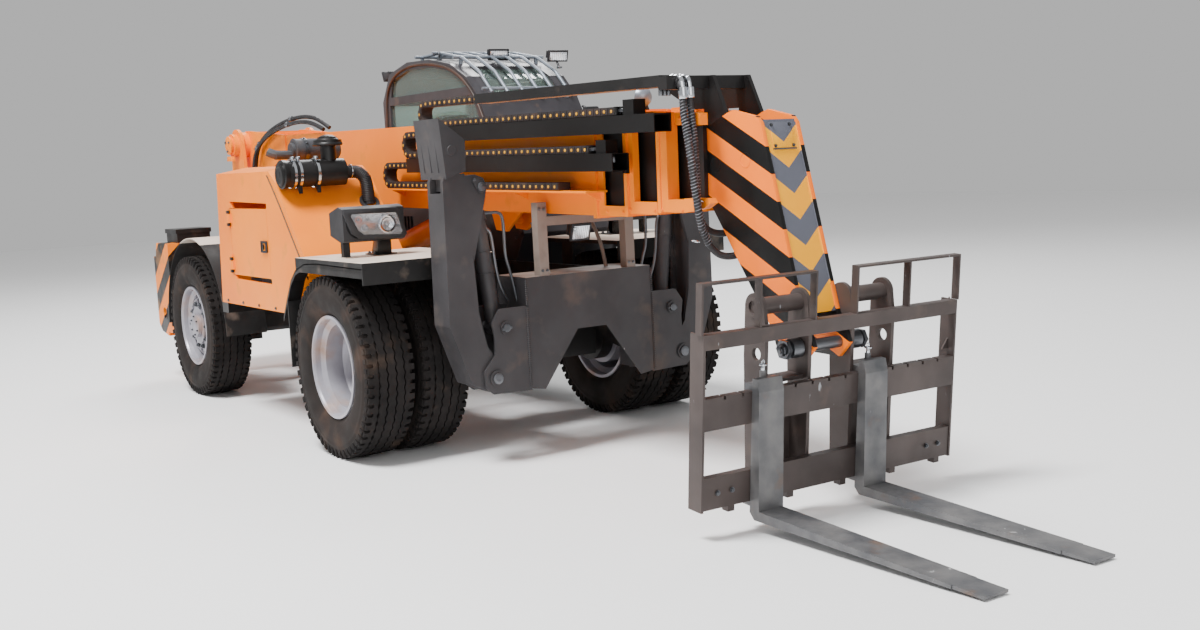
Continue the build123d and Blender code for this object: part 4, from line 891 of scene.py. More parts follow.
def addNoseHoses(h):
    finishPiece([addWrap(h, line) for line in h["lines"]], "nose_hose_guards", "section_4",
                guardPlastic, 60)
    parts = []
    for y, low in h["elbows"]:
        parts.append(addTube([fromAxle(x, y, z) for x, z in h["elbow"]], h["elbowRadius"]))
        parts.append(addRod(fromAxle(2.200, y, 1.955), fromAxle(2.203, y, low), 0.0215, 0.003, 20))
        parts.append(addRod(fromAxle(2.110, y, 1.999), fromAxle(2.140, y, 2.002), 0.021, 0.002, 6))
    parts += [addRing(fromAxle(*spot), (0, 0.3, 1), 0.019, 0.003, 16, 6) for spot in h["clamps"]]
    finishPiece(parts, "nose_hose_fittings", "section_4", chrome)


addNoseHoses(noseHoses)

# ---- hose fittings on the chain trays ----
trayFittings = {
    "hosesY": (-0.343, -0.320, -0.297),
    # along the boom and up from the tray's end
    "hose": ((-0.08, 0), (-0.03, 0.004), (0.02, 0), (0.03, -0.045)),
    "hoseRadius": 0.0085,
    "nuts": (((-0.105, 0), (-0.062, 0), 0.012), ((0.03, -0.040), (0.03, -0.068), 0.011)),
    "clampU": (-0.13, -0.108),
    "clampY": (-0.362, -0.278),
    "clampHalf": 0.022,
    # name, body, u where the tray ends, w of its top
    "rows": (("a", "section_4", 5.905, 0.184), ("b", "section_3", 5.700, 0.060),
             ("c", "section_2", 5.430, -0.125)),
}


def addTrayFittings(t):
    for name, body, u, w in t["rows"]:
        parts = []
        for y in t["hosesY"]:
            hose = addTube([alongBoom(u + du, y, w + dw) for du, dw in t["hose"]], t["hoseRadius"])
            parts.append(coat(hose, hoseRubber))
            for start, end, radius in t["nuts"]:
                parts.append(addRod(alongBoom(u + start[0], y, w + start[1]),
                                    alongBoom(u + end[0], y, w + end[1]), radius, 0.0015, 6))
        low, high = (alongBoom(u + du, y, w + dw) for du, y, dw in zip(
            t["clampU"], t["clampY"], (-t["clampHalf"], t["clampHalf"])))
        finishPiece(parts + [coat(addBar(low, high), blackPaint)], "tray_fittings_" + name, body,
                    pinSteel)


addTrayFittings(trayFittings)
print("hoses ready")

# ---- headlamps ----
headlamp = {
    "x": 0.100,
    "depth": 0.016,
    "outer": ((1.127, 1.430), (0.800, 1.424), (0.778, 1.405), (0.743, 1.270), (0.760, 1.246),
              (1.040, 1.256), (1.090, 1.290), (1.130, 1.405)),
    "inner": ((1.078, 1.400), (0.812, 1.395), (0.800, 1.388), (0.771, 1.285), (0.785, 1.268),
              (1.010, 1.280), (1.045, 1.305), (1.085, 1.388)),
    # y, z, radius, depth and lining of each bowl
    "bowls": ((0.862, 1.334, 0.050, 0.030, mirrorMetal), (1.035, 1.366, 0.020, 0.012, amberLens),
              (0.985, 1.372, 0.013, 0.010, mirrorMetal), (1.000, 1.318, 0.020, 0.012, mirrorMetal)),
    "legY": (0.800, 0.870),
    "leg": ((-0.02, 1.150), (-0.10, 1.160), (-0.06, 1.250), (0.02, 1.250)),
    "foot": ((-0.14, 0.760, 1.150), (0.01, 0.900, 1.157)),
    "web": ((0.000, 0.795, 1.150), (0.006, 0.880, 1.250)),
    "bolts": ((-0.12, 0.785, 1.157), (-0.12, 0.88, 1.157), (-0.05, 0.785, 1.157),
              (-0.05, 0.88, 1.157)),
}


def cutOut(obj, tool):
    applyModifier(obj, "BOOLEAN", operation="DIFFERENCE", object=tool, solver="EXACT")
    bpy.data.objects.remove(tool)


def addHeadlamps(h):
    x, depth = h["x"], h["depth"]
    parts = []
    lenses = []
    for hand, sign in sides:
        def slab(points, back, thick, edge=0.0):
            return addPlate([fromAxle(back, sign * y, z) for y, z in points], (thick, 0, 0), edge)

        bezel = slab(h["outer"], x, depth)
        cutOut(bezel, slab(h["inner"], x - 0.01, depth + 0.02))
        softenEdges(bezel, 0.003)
        parts += [coat(bezel, darkPlastic), coat(slab(h["inner"], x + 0.0005, 0.004), mirrorMetal)]
        for y, z, radius, deep, lining in h["bowls"]:
            bowl = addLathe([(0.0, 0.0), (0.002, radius * 0.3), (deep * 0.45, radius * 0.8),
                             (deep * 0.5, radius), (deep * 0.42, radius * 1.06), (-0.001, radius)],
                            fromAxle(x + 0.002, sign * y, z), (1, 0, 0), 32)
            bulb = addRod(fromAxle(x + 0.004, sign * y, z), fromAxle(x + 0.012, sign * y, z),
                          radius * 0.26, 0.001, 16)
            parts += [coat(bowl, lining), coat(bulb, lensGlass)]
        lenses.append(slab(h["inner"], x + depth - 0.004, 0.003, 0.001))
        bracket = [addPlate([fromAxle(legX, sign * y, z) for legX, z in h["leg"]],
                            (0, sign * 0.006, 0)) for y in h["legY"]]
        bracket += [addBar(*(onSide(p, sign) for p in h[piece])) for piece in ("foot", "web")]
        parts += [coat(part, blackPaint) for part in bracket]
        parts.append(addNuts([placeAt(onSide(p, sign), (0, 0, 1), (1, 0, 0)) for p in h["bolts"]],
                             0.010, 0.009))
    finishPiece(parts, "headlamp_fronts", "chassis", darkPlastic)
    finishPiece(lenses, "headlamp_lenses", "chassis", lensGlass)


addHeadlamps(headlamp)
print("headlamps ready")

# ---- air cleaner and exhaust ----
cleaner = {
    "x": -0.750,
    "z": 1.640,
    "radius": 0.085,
    "bands": (-1.082, -1.045, -0.930),
    # sections of the end cap, its shoulder and the rain dome: along the axis, radius
    "cap": ((-1.163, 0.0), (-1.163, 0.018), (-1.158, 0.024), (-1.158, 0.040), (-1.164, 0.046),
            (-1.164, 0.060), (-1.156, 0.070), (-1.145, 0.072), (-1.145, 0.0)),
    "shoulder": ((-1.150, 0.060), (-1.152, 0.083), (-1.146, 0.0885), (-1.120, 0.0885),
                 (-1.116, 0.086), (-1.120, 0.060)),
    "dome": ((1.770, 0.040), (1.808, 0.044), (1.806, 0.088), (1.812, 0.094), (1.822, 0.092),
             (1.846, 0.070), (1.862, 0.052), (1.872, 0.030), (1.876, 0.0), (1.770, 0.0)),
    "domeY": -0.830,
    "elbow": ((-0.750, -0.742, 1.640), (-0.750, -0.690, 1.642), (-0.750, -0.640, 1.640),
              (-0.735, -0.598, 1.600), (-0.722, -0.590, 1.530), (-0.715, -0.590, 1.430)),
    "elbowRadius": 0.038,
    "ringPitch": 0.013,
    # the rings follow the hose, which cuts inside the corners
    "ringPull": (-0.745, -0.645, 1.585),
    "ringPullShare": 0.07,
    "collar": ((-0.010, 0.044), (0.012, 0.044), (0.012, 0.060), (-0.010, 0.066)),
    "collarPlace": (-0.716, -0.590, 1.440),
    "collarAxis": (-0.66, 0, -0.75),
}
muffler = {
    "x": -1.150,
    "z": 1.790,
    "radius": 0.075,
    "seams": (-0.895, -0.615),
    "straps": (-0.680, -0.830),
    "strapBolts": (0.6, 1.3, 2.0),
    # from the muffler's middle: x, y, z
    "tail": ((0, -0.900, -0.025), (0, -0.980, -0.025), (-0.01, -1.030, -0.020),
             (-0.03, -1.060, 0)),
    "tailRadius": 0.030,
}


def addCleaner(c):
    x, z, radius = c["x"], c["z"], c["radius"]
    parts = []
    for y in c["bands"]:
        top = fromAxle(x, y, z + radius)
        band = addBand(fromAxle(x, y, z), (0, 1, 0), radius + 0.004, radius + 0.008, 0.008)
        lug = addBar(top + Vector((0.02, -0.009, -0.004)), top + Vector((0.05, 0.009, 0.022)))
        screw = addRod(top + Vector((0, 0, 0.012)), top + Vector((0.07, 0, 0.012)), 0.004, 0, 10)
        parts += [coat(band, chrome), coat(lug, chrome), coat(screw, pinSteel)]
    for piece in ("cap", "shoulder"):
        parts.append(coat(addLathe(c[piece], fromAxle(x, 0, z), (0, 1, 0)), blackPaint))
    parts.append(coat(addLathe(c["dome"], fromAxle(x, c["domeY"], 0), (0, 0, 1)), blackPaint))
    line = [fromAxle(*p) for p in c["elbow"]]
    parts.append(coat(addTube(line, c["elbowRadius"], 10), hoseRubber))
    for start, end in zip(line[:-1], line[1:]):
        count = max(1, round((end - start).length / c["ringPitch"]))
        for n in range(count):
            spot = start.lerp(end, n / count)
            pull = (fromAxle(*c["ringPull"]) - spot) * c["ringPullShare"]
            ring = addRing(spot + pull, end - start, c["elbowRadius"], 0.0032, 24, 6)
            parts.append(coat(ring, hoseRubber))
    for spot in line[:2]:
        parts.append(coat(addRing(spot, (0, 1, 0), c["elbowRadius"] + 0.003, 0.004), chrome))
    collar = addLathe(c["collar"], fromAxle(*c["collarPlace"]), c["collarAxis"], 32)
    return parts + [coat(collar, darkPlastic)]


def addMuffler(m):
    x, z, radius = m["x"], m["z"], m["radius"]
    parts = []
    for y in m["seams"]:
        seam = addLathe([(-0.006, radius - 0.01), (-0.004, radius + 0.003),
                         (0.004, radius + 0.003), (0.006, radius - 0.01)], fromAxle(x, y, z),
                        (0, 1, 0))
        parts.append(coat(seam, castIron))
    for y in m["straps"]:
        strap = addBand(fromAxle(x, y, z), (0, 1, 0), radius + 0.001, radius + 0.004, 0.012)
        parts.append(coat(strap, pinSteel))
        for turn in m["strapBolts"]:
            out = Vector((math.cos(turn), 0, math.sin(turn)))
            spot = fromAxle(x, y, z) + out * (radius + 0.003)
            parts.append(coat(addRod(spot, spot + out * 0.008, 0.007, 0.001, 8), pinSteel))
    tail = addTube([fromAxle(x + dx, y, z + dz) for dx, y, dz in m["tail"]], m["tailRadius"])
    return parts + [coat(tail, castIron)]


finishPiece(addCleaner(cleaner) + addMuffler(muffler), "air_cleaner_fittings", "chassis",
            blackPaint)
print("air cleaner ready")

# ---- hood ----
hood = {
    "y": -1.150,
    "latchX": (-1.165, -1.062),
    "latchZ": (1.150, 1.226),
    # black lip over the front wheel: x, z
    "lip": ((-0.640, 0.780), (-0.560, 0.900), (-0.480, 1.010), (-0.396, 1.075), (-0.250, 1.118),
            (-0.060, 1.128), (0.200, 1.124), (0.560, 1.120)),
    "lipY": (1.140, 1.240),
    "lipThick": 0.006,
    "skirtY": (1.236, 1.240),
    "skirtDrop": 0.028,
    "boltsX": (-1.90, -1.60, -1.30, -1.00, -0.72),
    "boltsZ": 0.80,
    "seam": ((-0.985, 1.640), (-0.870, 1.530), (-0.640, 1.265), (-0.420, 1.010)),
    "hingeX": (-1.752, -1.738),
    "hingeZ": (1.09, 1.33),
    "hingeHalf": 0.03,
}


def addHood(h):
    y = h["y"]

    def latchBar(sideIn, upIn, yLow, yHigh, edge):
        (x1, x2), (z1, z2) = h["latchX"], h["latchZ"]
        return addBar(fromAxle(x1 + sideIn, y + yLow, z1 + upIn),
                      fromAxle(x2 - sideIn, y + yHigh, z2 - upIn), edge)

    latch = latchBar(0, 0, -0.013, -0.001, 0.003)
    cutOut(latch, latchBar(0.012, 0.010, -0.03, -0.008, 0))
    handle = latchBar(0.030, 0.018, -0.012, -0.007, 0.002)
    finishPiece([coat(latch, darkPlastic), coat(handle, blackPaint)], "hood_latch", "hood_door",
                darkPlastic)
    inner, outer = h["lipY"]
    skirt, skirtOuter = h["skirtY"]
    parts = []
    for (x1, z1), (x2, z2) in zip(h["lip"][:-1], h["lip"][1:]):
        down = Vector((z2 - z1, 0, x1 - x2)).normalized() * h["lipThick"]
        for sign in (-1, 1):
            parts.append(addPlate([fromAxle(x1, sign * inner, z1), fromAxle(x2, sign * inner, z2),
                                   fromAxle(x2, sign * outer, z2), fromAxle(x1, sign * outer, z1)],
                                  down, 0))
            parts.append(addPlate([fromAxle(x, sign * skirt, z) for x, z in (
                (x1, z1), (x2, z2), (x2, z2 - h["skirtDrop"]), (x1, z1 - h["skirtDrop"]))],
                                  (0, sign * (skirtOuter - skirt), 0), 0))
    finishPiece(parts, "wheel_arch_lips", "chassis", blackPaint)
    bolts = addNuts([placeAt(fromAxle(x, y - 0.001, h["boltsZ"]), (0, -1, 0), (0, 0, 1))
                     for x in h["boltsX"]], 0.009, 0.006)
    bead = addTube([fromAxle(x, y - 0.002, z) for x, z in h["seam"]], 0.004)
    x1, x2 = h["hingeX"]
    hinges = [addBar(fromAxle(x1, y - 0.012, z - h["hingeHalf"]),
                     fromAxle(x2, y, z + h["hingeHalf"])) for z in h["hingeZ"]]
    finishPiece([bolts, bead] + [coat(hinge, yellowPaint) for hinge in hinges], "hood_trim",
                "chassis", blackPaint)


addHood(hood)
print("hood ready")

# ---- stabilisers ----
stabiliser = {
    # pins in the front frame: y, z, radius
    "pins": ((0.637, 0.486, 0.030), (0.565, 0.756, 0.022)),
    "pinX": 0.898,
    "pinBolts": ((-0.026, 0.0), (0.024, -0.006)),
    # eye at the leg's head: y, z, and its faces with the way that each looks
    "eye": (0.663, 1.527),
    "eyeFaces": ((0.878, 1), (0.682, -1)),
    "keeper": ((-0.030, -0.026), (0.012, -0.034), (0.034, 0.0), (0.052, 0.034), (0.030, 0.050),
               (-0.012, 0.028)),
    "keeperBolt": (0.040, 0.038),
    # bosses at the leg's upper end
    "bosses": (0.830, 1.725, 0.026),
    "bossFaces": ((0.890, 1), (0.600, -1)),
    # steel pipes from the barrel's two ports
    "pipes": (
        ((0.768, 0.640, 1.376), (0.775, 0.570, 1.380), (0.778, 0.505, 1.382),
         (0.778, 0.482, 1.350), (0.778, 0.480, 1.240), (0.778, 0.480, 1.130),
         (0.774, 0.455, 1.060), (0.770, 0.430, 0.960), (0.770, 0.415, 0.880)),
        ((0.768, 0.630, 1.300), (0.776, 0.590, 1.300), (0.780, 0.560, 1.270),
         (0.780, 0.550, 1.100), (0.776, 0.520, 0.960), (0.770, 0.470, 0.880)),
    ),
    "pipeRadius": 0.0085,
    # barrel from its foot to the eye, and its bands: distance up, radius
    "foot": (0.768, 0.565, 0.756),
    "head": (0.768, 0.663, 1.527),
    "bands": ((0.30, 0.0465), (0.42, 0.0465), (0.592, 0.052), (0.638, 0.050)),
}


def addFramePins(s, sign):
    x = s["pinX"]
    parts = []
    for y, z, radius in s["pins"]:
        spot = fromAxle(x, sign * y, z)
        face = spot + Vector((0.012, 0, 0))
        parts.append(addRod(spot, face, radius, 0.002))
        parts.append(addRod(face, face + Vector((0.0005, 0, 0)), radius * 0.55, 0, 16))
        washer = addLathe([(0.0, radius + 0.001), (0.004, radius + 0.001),
                           (0.004, radius + 0.014), (0.0, radius + 0.014)],
                          spot - Vector((0.002, 0, 0)), (1, 0, 0), 32)
        bolts = addNuts([placeAt(fromAxle(x, sign * (y + dy), z + dz), (1, 0, 0), (0, 0, 1))
                         for dy, dz in s["pinBolts"]], 0.008, 0.008)
        parts += [coat(washer, greyPaint), bolts]
    return parts


def addLegPins(s, sign):
    y, z = s["eye"]
    parts = []
    for x, way in s["eyeFaces"]:
        spot, step = fromAxle(x, sign * y, z), Vector((way, 0, 0))
        keeper = addPlate([fromAxle(x, sign * (y + dy), z + dz) for dy, dz in s["keeper"]],
                          step * 0.006)
        pin = addRod(spot, spot + step * 0.016, 0.024, 0.003)
        core = addRod(spot + step * 0.016, spot + step * 0.018, 0.012, 0.001, 16)
        dy, dz = s["keeperBolt"]
        bolt = addNuts([placeAt(fromAxle(x, sign * (y + dy), z + dz) + step * 0.006, step,
                                (0, 0, 1))], 0.008, 0.008)
        parts += [coat(keeper, greyPaint), coat(pin, pinSteel), coat(core, pinSteel), bolt]
    y, z, radius = s["bosses"]
    for x, way in s["bossFaces"]:
        boss = addLathe([(0.0, 0.0), (0.003, 0.0), (0.003, radius), (0.0, radius + 0.003)],
                        fromAxle(x, sign * y, z), (way, 0, 0), 28)
        parts.append(coat(boss, greyPaint))
    return parts


def addStabilisers(s):
    for hand, sign in sides:
        finishPiece(addFramePins(s, sign), "stabiliser_pins_" + hand, "chassis", pinSteel)
        finishPiece(addLegPins(s, sign), "stabiliser_eye_pins_" + hand, "stabiliser_leg_" + hand,
                    greyPaint)
        parts = []
        for pipe in s["pipes"]:
            start = onSide(pipe[0], sign)
            parts.append(addTube([onSide(p, sign) for p in pipe], s["pipeRadius"]))
            parts.append(addRod(start, start + Vector((0.004, -sign * 0.045, 0)), 0.016, 0.002, 6))
        barrel = "stabiliser_barrel_" + hand
        finishPiece(parts, "stabiliser_lines_" + hand, barrel, pinSteel)
        foot, head = onSide(s["foot"], sign), onSide(s["head"], sign)
        axis = (head - foot).normalized()
        rings = [addRing(foot + axis * height, axis, radius, 0.0025, 32, 6)
                 for height, radius in s["bands"]]
        finishPiece(rings, "stabiliser_bands_" + hand, barrel, greyPaint)


addStabilisers(stabiliser)
print("stabilisers ready")

# ---- front frame ----
frontFrame = {
    # weld beads on the front face: y, low end, high end
    "weldX": 0.889,
    "weldPitch": 0.012,
    "welds": ((0.424, 0.410, 0.860), (0.424, 0.870, 1.008), (-0.424, 0.410, 0.860),
              (-0.424, 0.870, 1.008)),
    "boltX": 0.880,
    "boltY": (0.277, 0.307),
    "boltZ": (1.045, 1.385),
    # gusset at the foot of each post: x, z
    "gusset": ((0.880, 1.016), (0.885, 1.016), (0.881, 1.06)),
    "gussetY": (0.262, 0.322),
    "pipe": ((0.62, 0.200, 1.300), (0.70, 0.205, 1.18), (0.72, 0.215, 1.08), (0.73, 0.22, 1.018)),
    "pipeRadius": 0.011,
}


def addFrontFrame(f):
    parts = []
    for y, low, high in f["welds"]:
        count = round((high - low) / f["weldPitch"])
        places = [Matrix.Translation(fromAxle(f["weldX"], y, low + (high - low) * n / count))
                  for n in range(count)]
        parts.append(addCopies(addRing((0, 0, 0), (0, 0, 1), 0.0045, 0.0035, 10, 5), places))
    inner, outer = f["gussetY"]
    for sign in (-1, 1):
        for z in f["boltZ"]:
            parts.append(addNuts([placeAt(fromAxle(f["boltX"], sign * y, z), (1, 0, 0), (0, 0, 1))
                                  for y in f["boltY"]], 0.009, 0.008))
        parts.append(addPlate([fromAxle(x, sign * inner, z) for x, z in f["gusset"]],
                              (0, sign * (outer - inner), 0), 0.001))
        parts.append(addTube([onSide(p, sign) for p in f["pipe"]], f["pipeRadius"]))
    finishPiece(parts, "front_frame_details", "chassis", frontPaint)


addFrontFrame(frontFrame)

# ---- work lamps ----
workLamps = {
    # name, middle, way that it faces, width, height, foot of its arm
    "square": (
        ("cab_lamp_right", (-1.29, 0.750, 2.418), (0.93, -0.10, -0.30), 0.150, 0.075,
         (-1.36, 0.750, 2.405)),
        ("cab_lamp_left", (-1.02, 1.080, 2.385), (0.93, -0.10, -0.30), 0.150, 0.075,
         (-1.00, 1.075, 2.300)),
        ("cab_lamp_rear", (-2.46, 0.440, 2.350), (-0.90, -0.20, -0.25), 0.120, 0.070,
         (-2.38, 0.440, 2.270)),
        ("boom_lamp", (0.80, 0.010, 1.235), (0.95, 0.0, -0.30), 0.125, 0.095,
         (0.825, 0.010, 1.300)),
    ),
    "shellDepth": 0.055,
    # the shell narrows behind this depth, by these shares
    "narrowFrom": -0.03,
    "narrow": (0.78, 0.72),
    "fins": [-0.4 + 0.16 * n for n in range(6)],
    "ribs": [-0.4 + 0.1 * n for n in range(9)],
    "round": {
        "middle": (1.42, 0.02, 1.955),
        "faces": (-0.85, -0.45, 0.20),
        # along the axis, share of the radius
        "radius": 0.055,
        "shell": ((-0.060, 0.0), (-0.056, 0.5), (-0.040, 0.85), (-0.010, 1.0), (0.006, 1.0),
                  (0.006, 0.9), (0.0, 0.0)),
        "glass": ((0.0, 0.0), (0.012, 0.0), (0.008, 0.6), (0.003, 0.9), (0.0, 0.9)),
    },
}


def addSquareLamp(w, width, height):
    def slab(halfX, halfY, back, front, edge, middle=0.0):
        return addBar((middle - halfX, -halfY, back), (middle + halfX, halfY, front), edge)

    shell = slab(width / 2, height / 2, -w["shellDepth"], 0.0, 0.008)
    for vert in shell.data.vertices:
        if vert.co.z < w["narrowFrom"]:
            vert.co.x *= w["narrow"][0]
            vert.co.y *= w["narrow"][1]
    rim = slab(width / 2 + 0.004, height / 2 + 0.004, -0.012, 0.004, 0.003)
    fins = [slab(0.0022, height * 0.34, -0.068, -0.050, 0.0005, share * width)
            for share in w["fins"]]
    glass = slab(width / 2 - 0.008, height / 2 - 0.008, 0.002, 0.007, 0.002)
    ribs = [slab(0.0012, height * 0.38, 0.006, 0.009, 0, share * width) for share in w["ribs"]]
    return joinPieces([coat(part, darkPlastic) for part in [shell, rim] + fins]
                      + [coat(glass, mirrorMetal)] + [coat(rib, lensGlass) for rib in ribs])


def addWorkLamps(w):
    for name, middle, faces, width, height, foot in w["square"]:
        lamp = addSquareLamp(w, width, height)
        lamp.data.transform(placeAt(fromAxle(*middle), faces, (0, 0, 1)))
        end = fromAxle(*foot)
        back = fromAxle(*middle) - Vector(faces).normalized() * 0.05
        arm = addTube([back, back.lerp(end, 0.5) - Vector((0.01, 0, 0)), end], 0.008)
        base = addRod(end - Vector((0, 0, 0.004)), end + Vector((0, 0, 0.010)), 0.020, 0.002, 12)
        finishPiece([lamp, coat(arm, darkPlastic), coat(base, pinSteel)], name, "chassis",
                    darkPlastic)
    r = w["round"]
    shell, glass = (addLathe([(along, share * r["radius"]) for along, share in r[piece]],
                             (0, 0, 0), (0, 0, 1), 32) for piece in ("shell", "glass"))
    lamp = joinPieces([coat(shell, tubePaint), coat(glass, mirrorMetal)])
    lamp.data.transform(placeAt(fromAxle(*r["middle"]), r["faces"], (0, 0, 1)))
    arm = addRod(fromAxle(*r["middle"]) + Vector((0.01, 0.02, -0.02)),
                 alongBoom(5.30, 0.05, 0.052), 0.010, 0.002, 12)
    finishPiece([lamp, coat(arm, darkPlastic)], "head_lamp", "section_2", darkPlastic)


addWorkLamps(workLamps)
print("work lamps ready")

# ---- seat ----
seat = {
    # part, x, y, z, lean, axis of its crown, fill
    "pads": (
        ("cushion", (-1.930, -1.420), (0.520, 1.000), (1.190, 1.335), 0.0, 2, 0.7),
        ("back", (-2.020, -1.880), (0.535, 0.985), (1.300, 1.885), -0.22, 0, 0.7),
        ("head", (-2.090, -1.980), (0.620, 0.900), (1.870, 2.030), -0.12, 0, 0.8),
    ),
    "round": 0.24,
    "swell": 0.22,
    # sewn channels: share of the width, width, depth
    "channel": (0.52, 0.06, 0.10),
    "shrink": 0.97,
    # piping round the cushion: x, y, corner, and its heights with how far each lies in
    "pipingX": (-1.930, -1.420),
    "pipingY": (0.520, 1.000),
    "pipingCorner": 0.05,
    "piping": ((1.225, 0.012), (1.307, 0.020)),
}


def addCushion(s, x, y, z, lean, crown):
    low, high = (Vector(corner) for corner in zip(x, y, z))
    deselectAll()
    bpy.ops.mesh.primitive_cube_add(size=2)
    pad = bpy.context.object
    editAll(pad)
    bpy.ops.mesh.subdivide(number_cuts=11)
    bpy.ops.object.mode_set(mode="OBJECT")
    size, middle = (high - low) / 2, (high + low) / 2
    place, width, depth = s["channel"]
    for vert in pad.data.vertices:
        p = vert.co.copy()
        # rounded corners, a crowned face, and two sewn channels across it
        ball = p.normalized() * max(abs(v) for v in p)
        q = p.lerp(ball, s["round"])
        swell = (1 - p.x * p.x * (crown != 0)) * (1 - p.y * p.y) * (1 - p.z * p.z * (crown != 2))
        channel = math.exp(-((abs(p.y) - place) / width) ** 2) * depth
        q[crown] *= 1 + s["swell"] * swell - channel
        vert.co = Vector((q.x * size.x, q.y * size.y, q.z * size.z)) * s["shrink"]
    pad.data.transform(Matrix.Rotation(lean, 4, "Y"))
    pad.data.transform(Matrix.Translation(fromAxle(*middle)))
    applyModifier(pad, "SUBSURF", levels=1, render_levels=1)
    return pad


def addSeat(s):
    for part, x, y, z, lean, crown, fill in s["pads"]:
        pad = finishPiece(addCushion(s, x, y, z, lean, crown), "seat_" + part, "chassis",
                          seatCloth, 60)
    (x1, x2), (y1, y2), corner = s["pipingX"], s["pipingY"], s["pipingCorner"]
    seams = []
    for z, inset in s["piping"]:
        outline = ((x1 + inset, y1 + corner), (x1 + corner, y1 + inset), (x2 - corner, y1 + inset),
                   (x2 - inset, y1 + corner), (x2 - inset, y2 - corner), (x2 - corner, y2 - inset),
                   (x1 + corner, y2 - inset), (x1 + inset, y2 - corner))
        seams.append(addTube([fromAxle(x, y, z) for x, y in outline], 0.004, 6, True))
    finishPiece(seams, "seat_piping", "chassis", darkPlastic, 60)


addSeat(seat)

# ---- cab ----
cab = {
    # trim round the cab's side windows: x, z
    "trim": ((-2.340, 1.300), (-2.372, 2.100), (-2.250, 2.320), (-1.960, 2.392), (-1.600, 2.384),
             (-1.300, 2.330), (-1.085, 2.228), (-0.925, 2.082), (-0.832, 1.925), (-0.570, 1.590),
             (-0.425, 1.185)),
    "trimY": (0.346, 1.154),
    "trimRadius": 0.010,
    "eyeBolts": ((-1.575, 0.420, 2.408), (-1.440, 1.090, 2.380)),
    "mirror": ((-0.86, 1.16, 2.02), (-0.80, 1.20, 1.90)),
    "wiper": ((-0.700, 0.760, 1.800), (-0.690, 0.560, 1.795), (-0.560, 0.520, 1.610)),
    "wiperOut": (0.010, 0, 0.008),
    # slats of the vent on the right side: x of each, its width, y and z
    "slatsX": [-2.28 + 0.055 * n for n in range(5)],
    "slatWidth": 0.022,
    "slatY": (0.340, 0.351),
    "slatZ": (1.02, 1.28),
    # bolts on both sides: x, z
    "bolts": ((-2.36, 0.90), (-0.66, 0.90), (-0.50, 1.15), (-2.37, 1.40)),
    "boltFaces": ((0.350, -1), (1.150, 1)),
    "handle": ((-0.86, 1.182, 1.42), (-0.86, 1.205, 1.40), (-0.86, 1.205, 1.20),
               (-0.86, 1.182, 1.18)),
}


def addCabTrim(c):
    trim = [addTube([fromAxle(x, y, z) for x, z in c["trim"]], c["trimRadius"], 8)
            for y in c["trimY"]]
    finishPiece(trim, "cab_edge_trim", "chassis", trimRubber, 60)
    parts = []
    for spot in (fromAxle(*p) for p in c["eyeBolts"]):
        foot = spot - Vector((0, 0, 0.01))
        parts.append(addRod(foot, spot + Vector((0, 0, 0.022)), 0.009, 0.001, 12))
        parts.append(addRod(foot, spot + Vector((0, 0, 0.004)), 0.020, 0.002, 6))
        parts.append(addRing(spot + Vector((0, 0, 0.036)), (0.4, 1, 0), 0.017, 0.006, 24, 8))
    finishPiece(parts, "cab_eye_bolts", "chassis", pinSteel)


def addCabFittings(c):
    start, turn, end = (fromAxle(*p) for p in c["wiper"])
    out = Vector(c["wiperOut"])
    arm = addTube([start + out, start.lerp(turn, 0.5) + out * 1.5, turn + out], 0.006)
    blade = addTube([turn + out, turn.lerp(end, 0.5) + out, end + out], 0.007)
    hub = addRod(start, start + out * 2.2, 0.018, 0.002, 16)
    finishPiece([arm, blade, hub], "cab_wiper", "chassis", darkPlastic)
    root, head = (fromAxle(*p) for p in c["mirror"])
    glass = addBar(head + Vector((-0.012, -0.065, -0.105)), head + Vector((-0.006, 0.045, 0.105)),
                   0.002)
    shell = addBar(head + Vector((-0.008, -0.075, -0.115)), head + Vector((0.022, 0.052, 0.115)),
                   0.012)
    stem = addTube([root, root.lerp(head, 0.5) + Vector((0.03, 0.02, 0.04)),
                    head + Vector((0.01, 0, 0.06))], 0.008)
    finishPiece([shell, coat(glass, mirrorMetal), stem], "cab_mirror", "chassis", darkPlastic)
    (y1, y2), (z1, z2) = c["slatY"], c["slatZ"]
    parts = [addBar(fromAxle(x, y1, z1), fromAxle(x + c["slatWidth"], y2, z2))
             for x in c["slatsX"]]
    parts.append(addNuts([placeAt(fromAxle(x, y, z), (0, way, 0), (0, 0, 1))
                          for x, z in c["bolts"] for y, way in c["boltFaces"]], 0.010, 0.007))
    finishPiece(parts, "cab_vents", "chassis", darkPlastic)
    finishPiece(addTube([fromAxle(*p) for p in c["handle"]], 0.009), "cab_door_handle",
                "cab_door", darkPlastic)


addCabTrim(cab)
addCabFittings(cab)
print("cab ready")

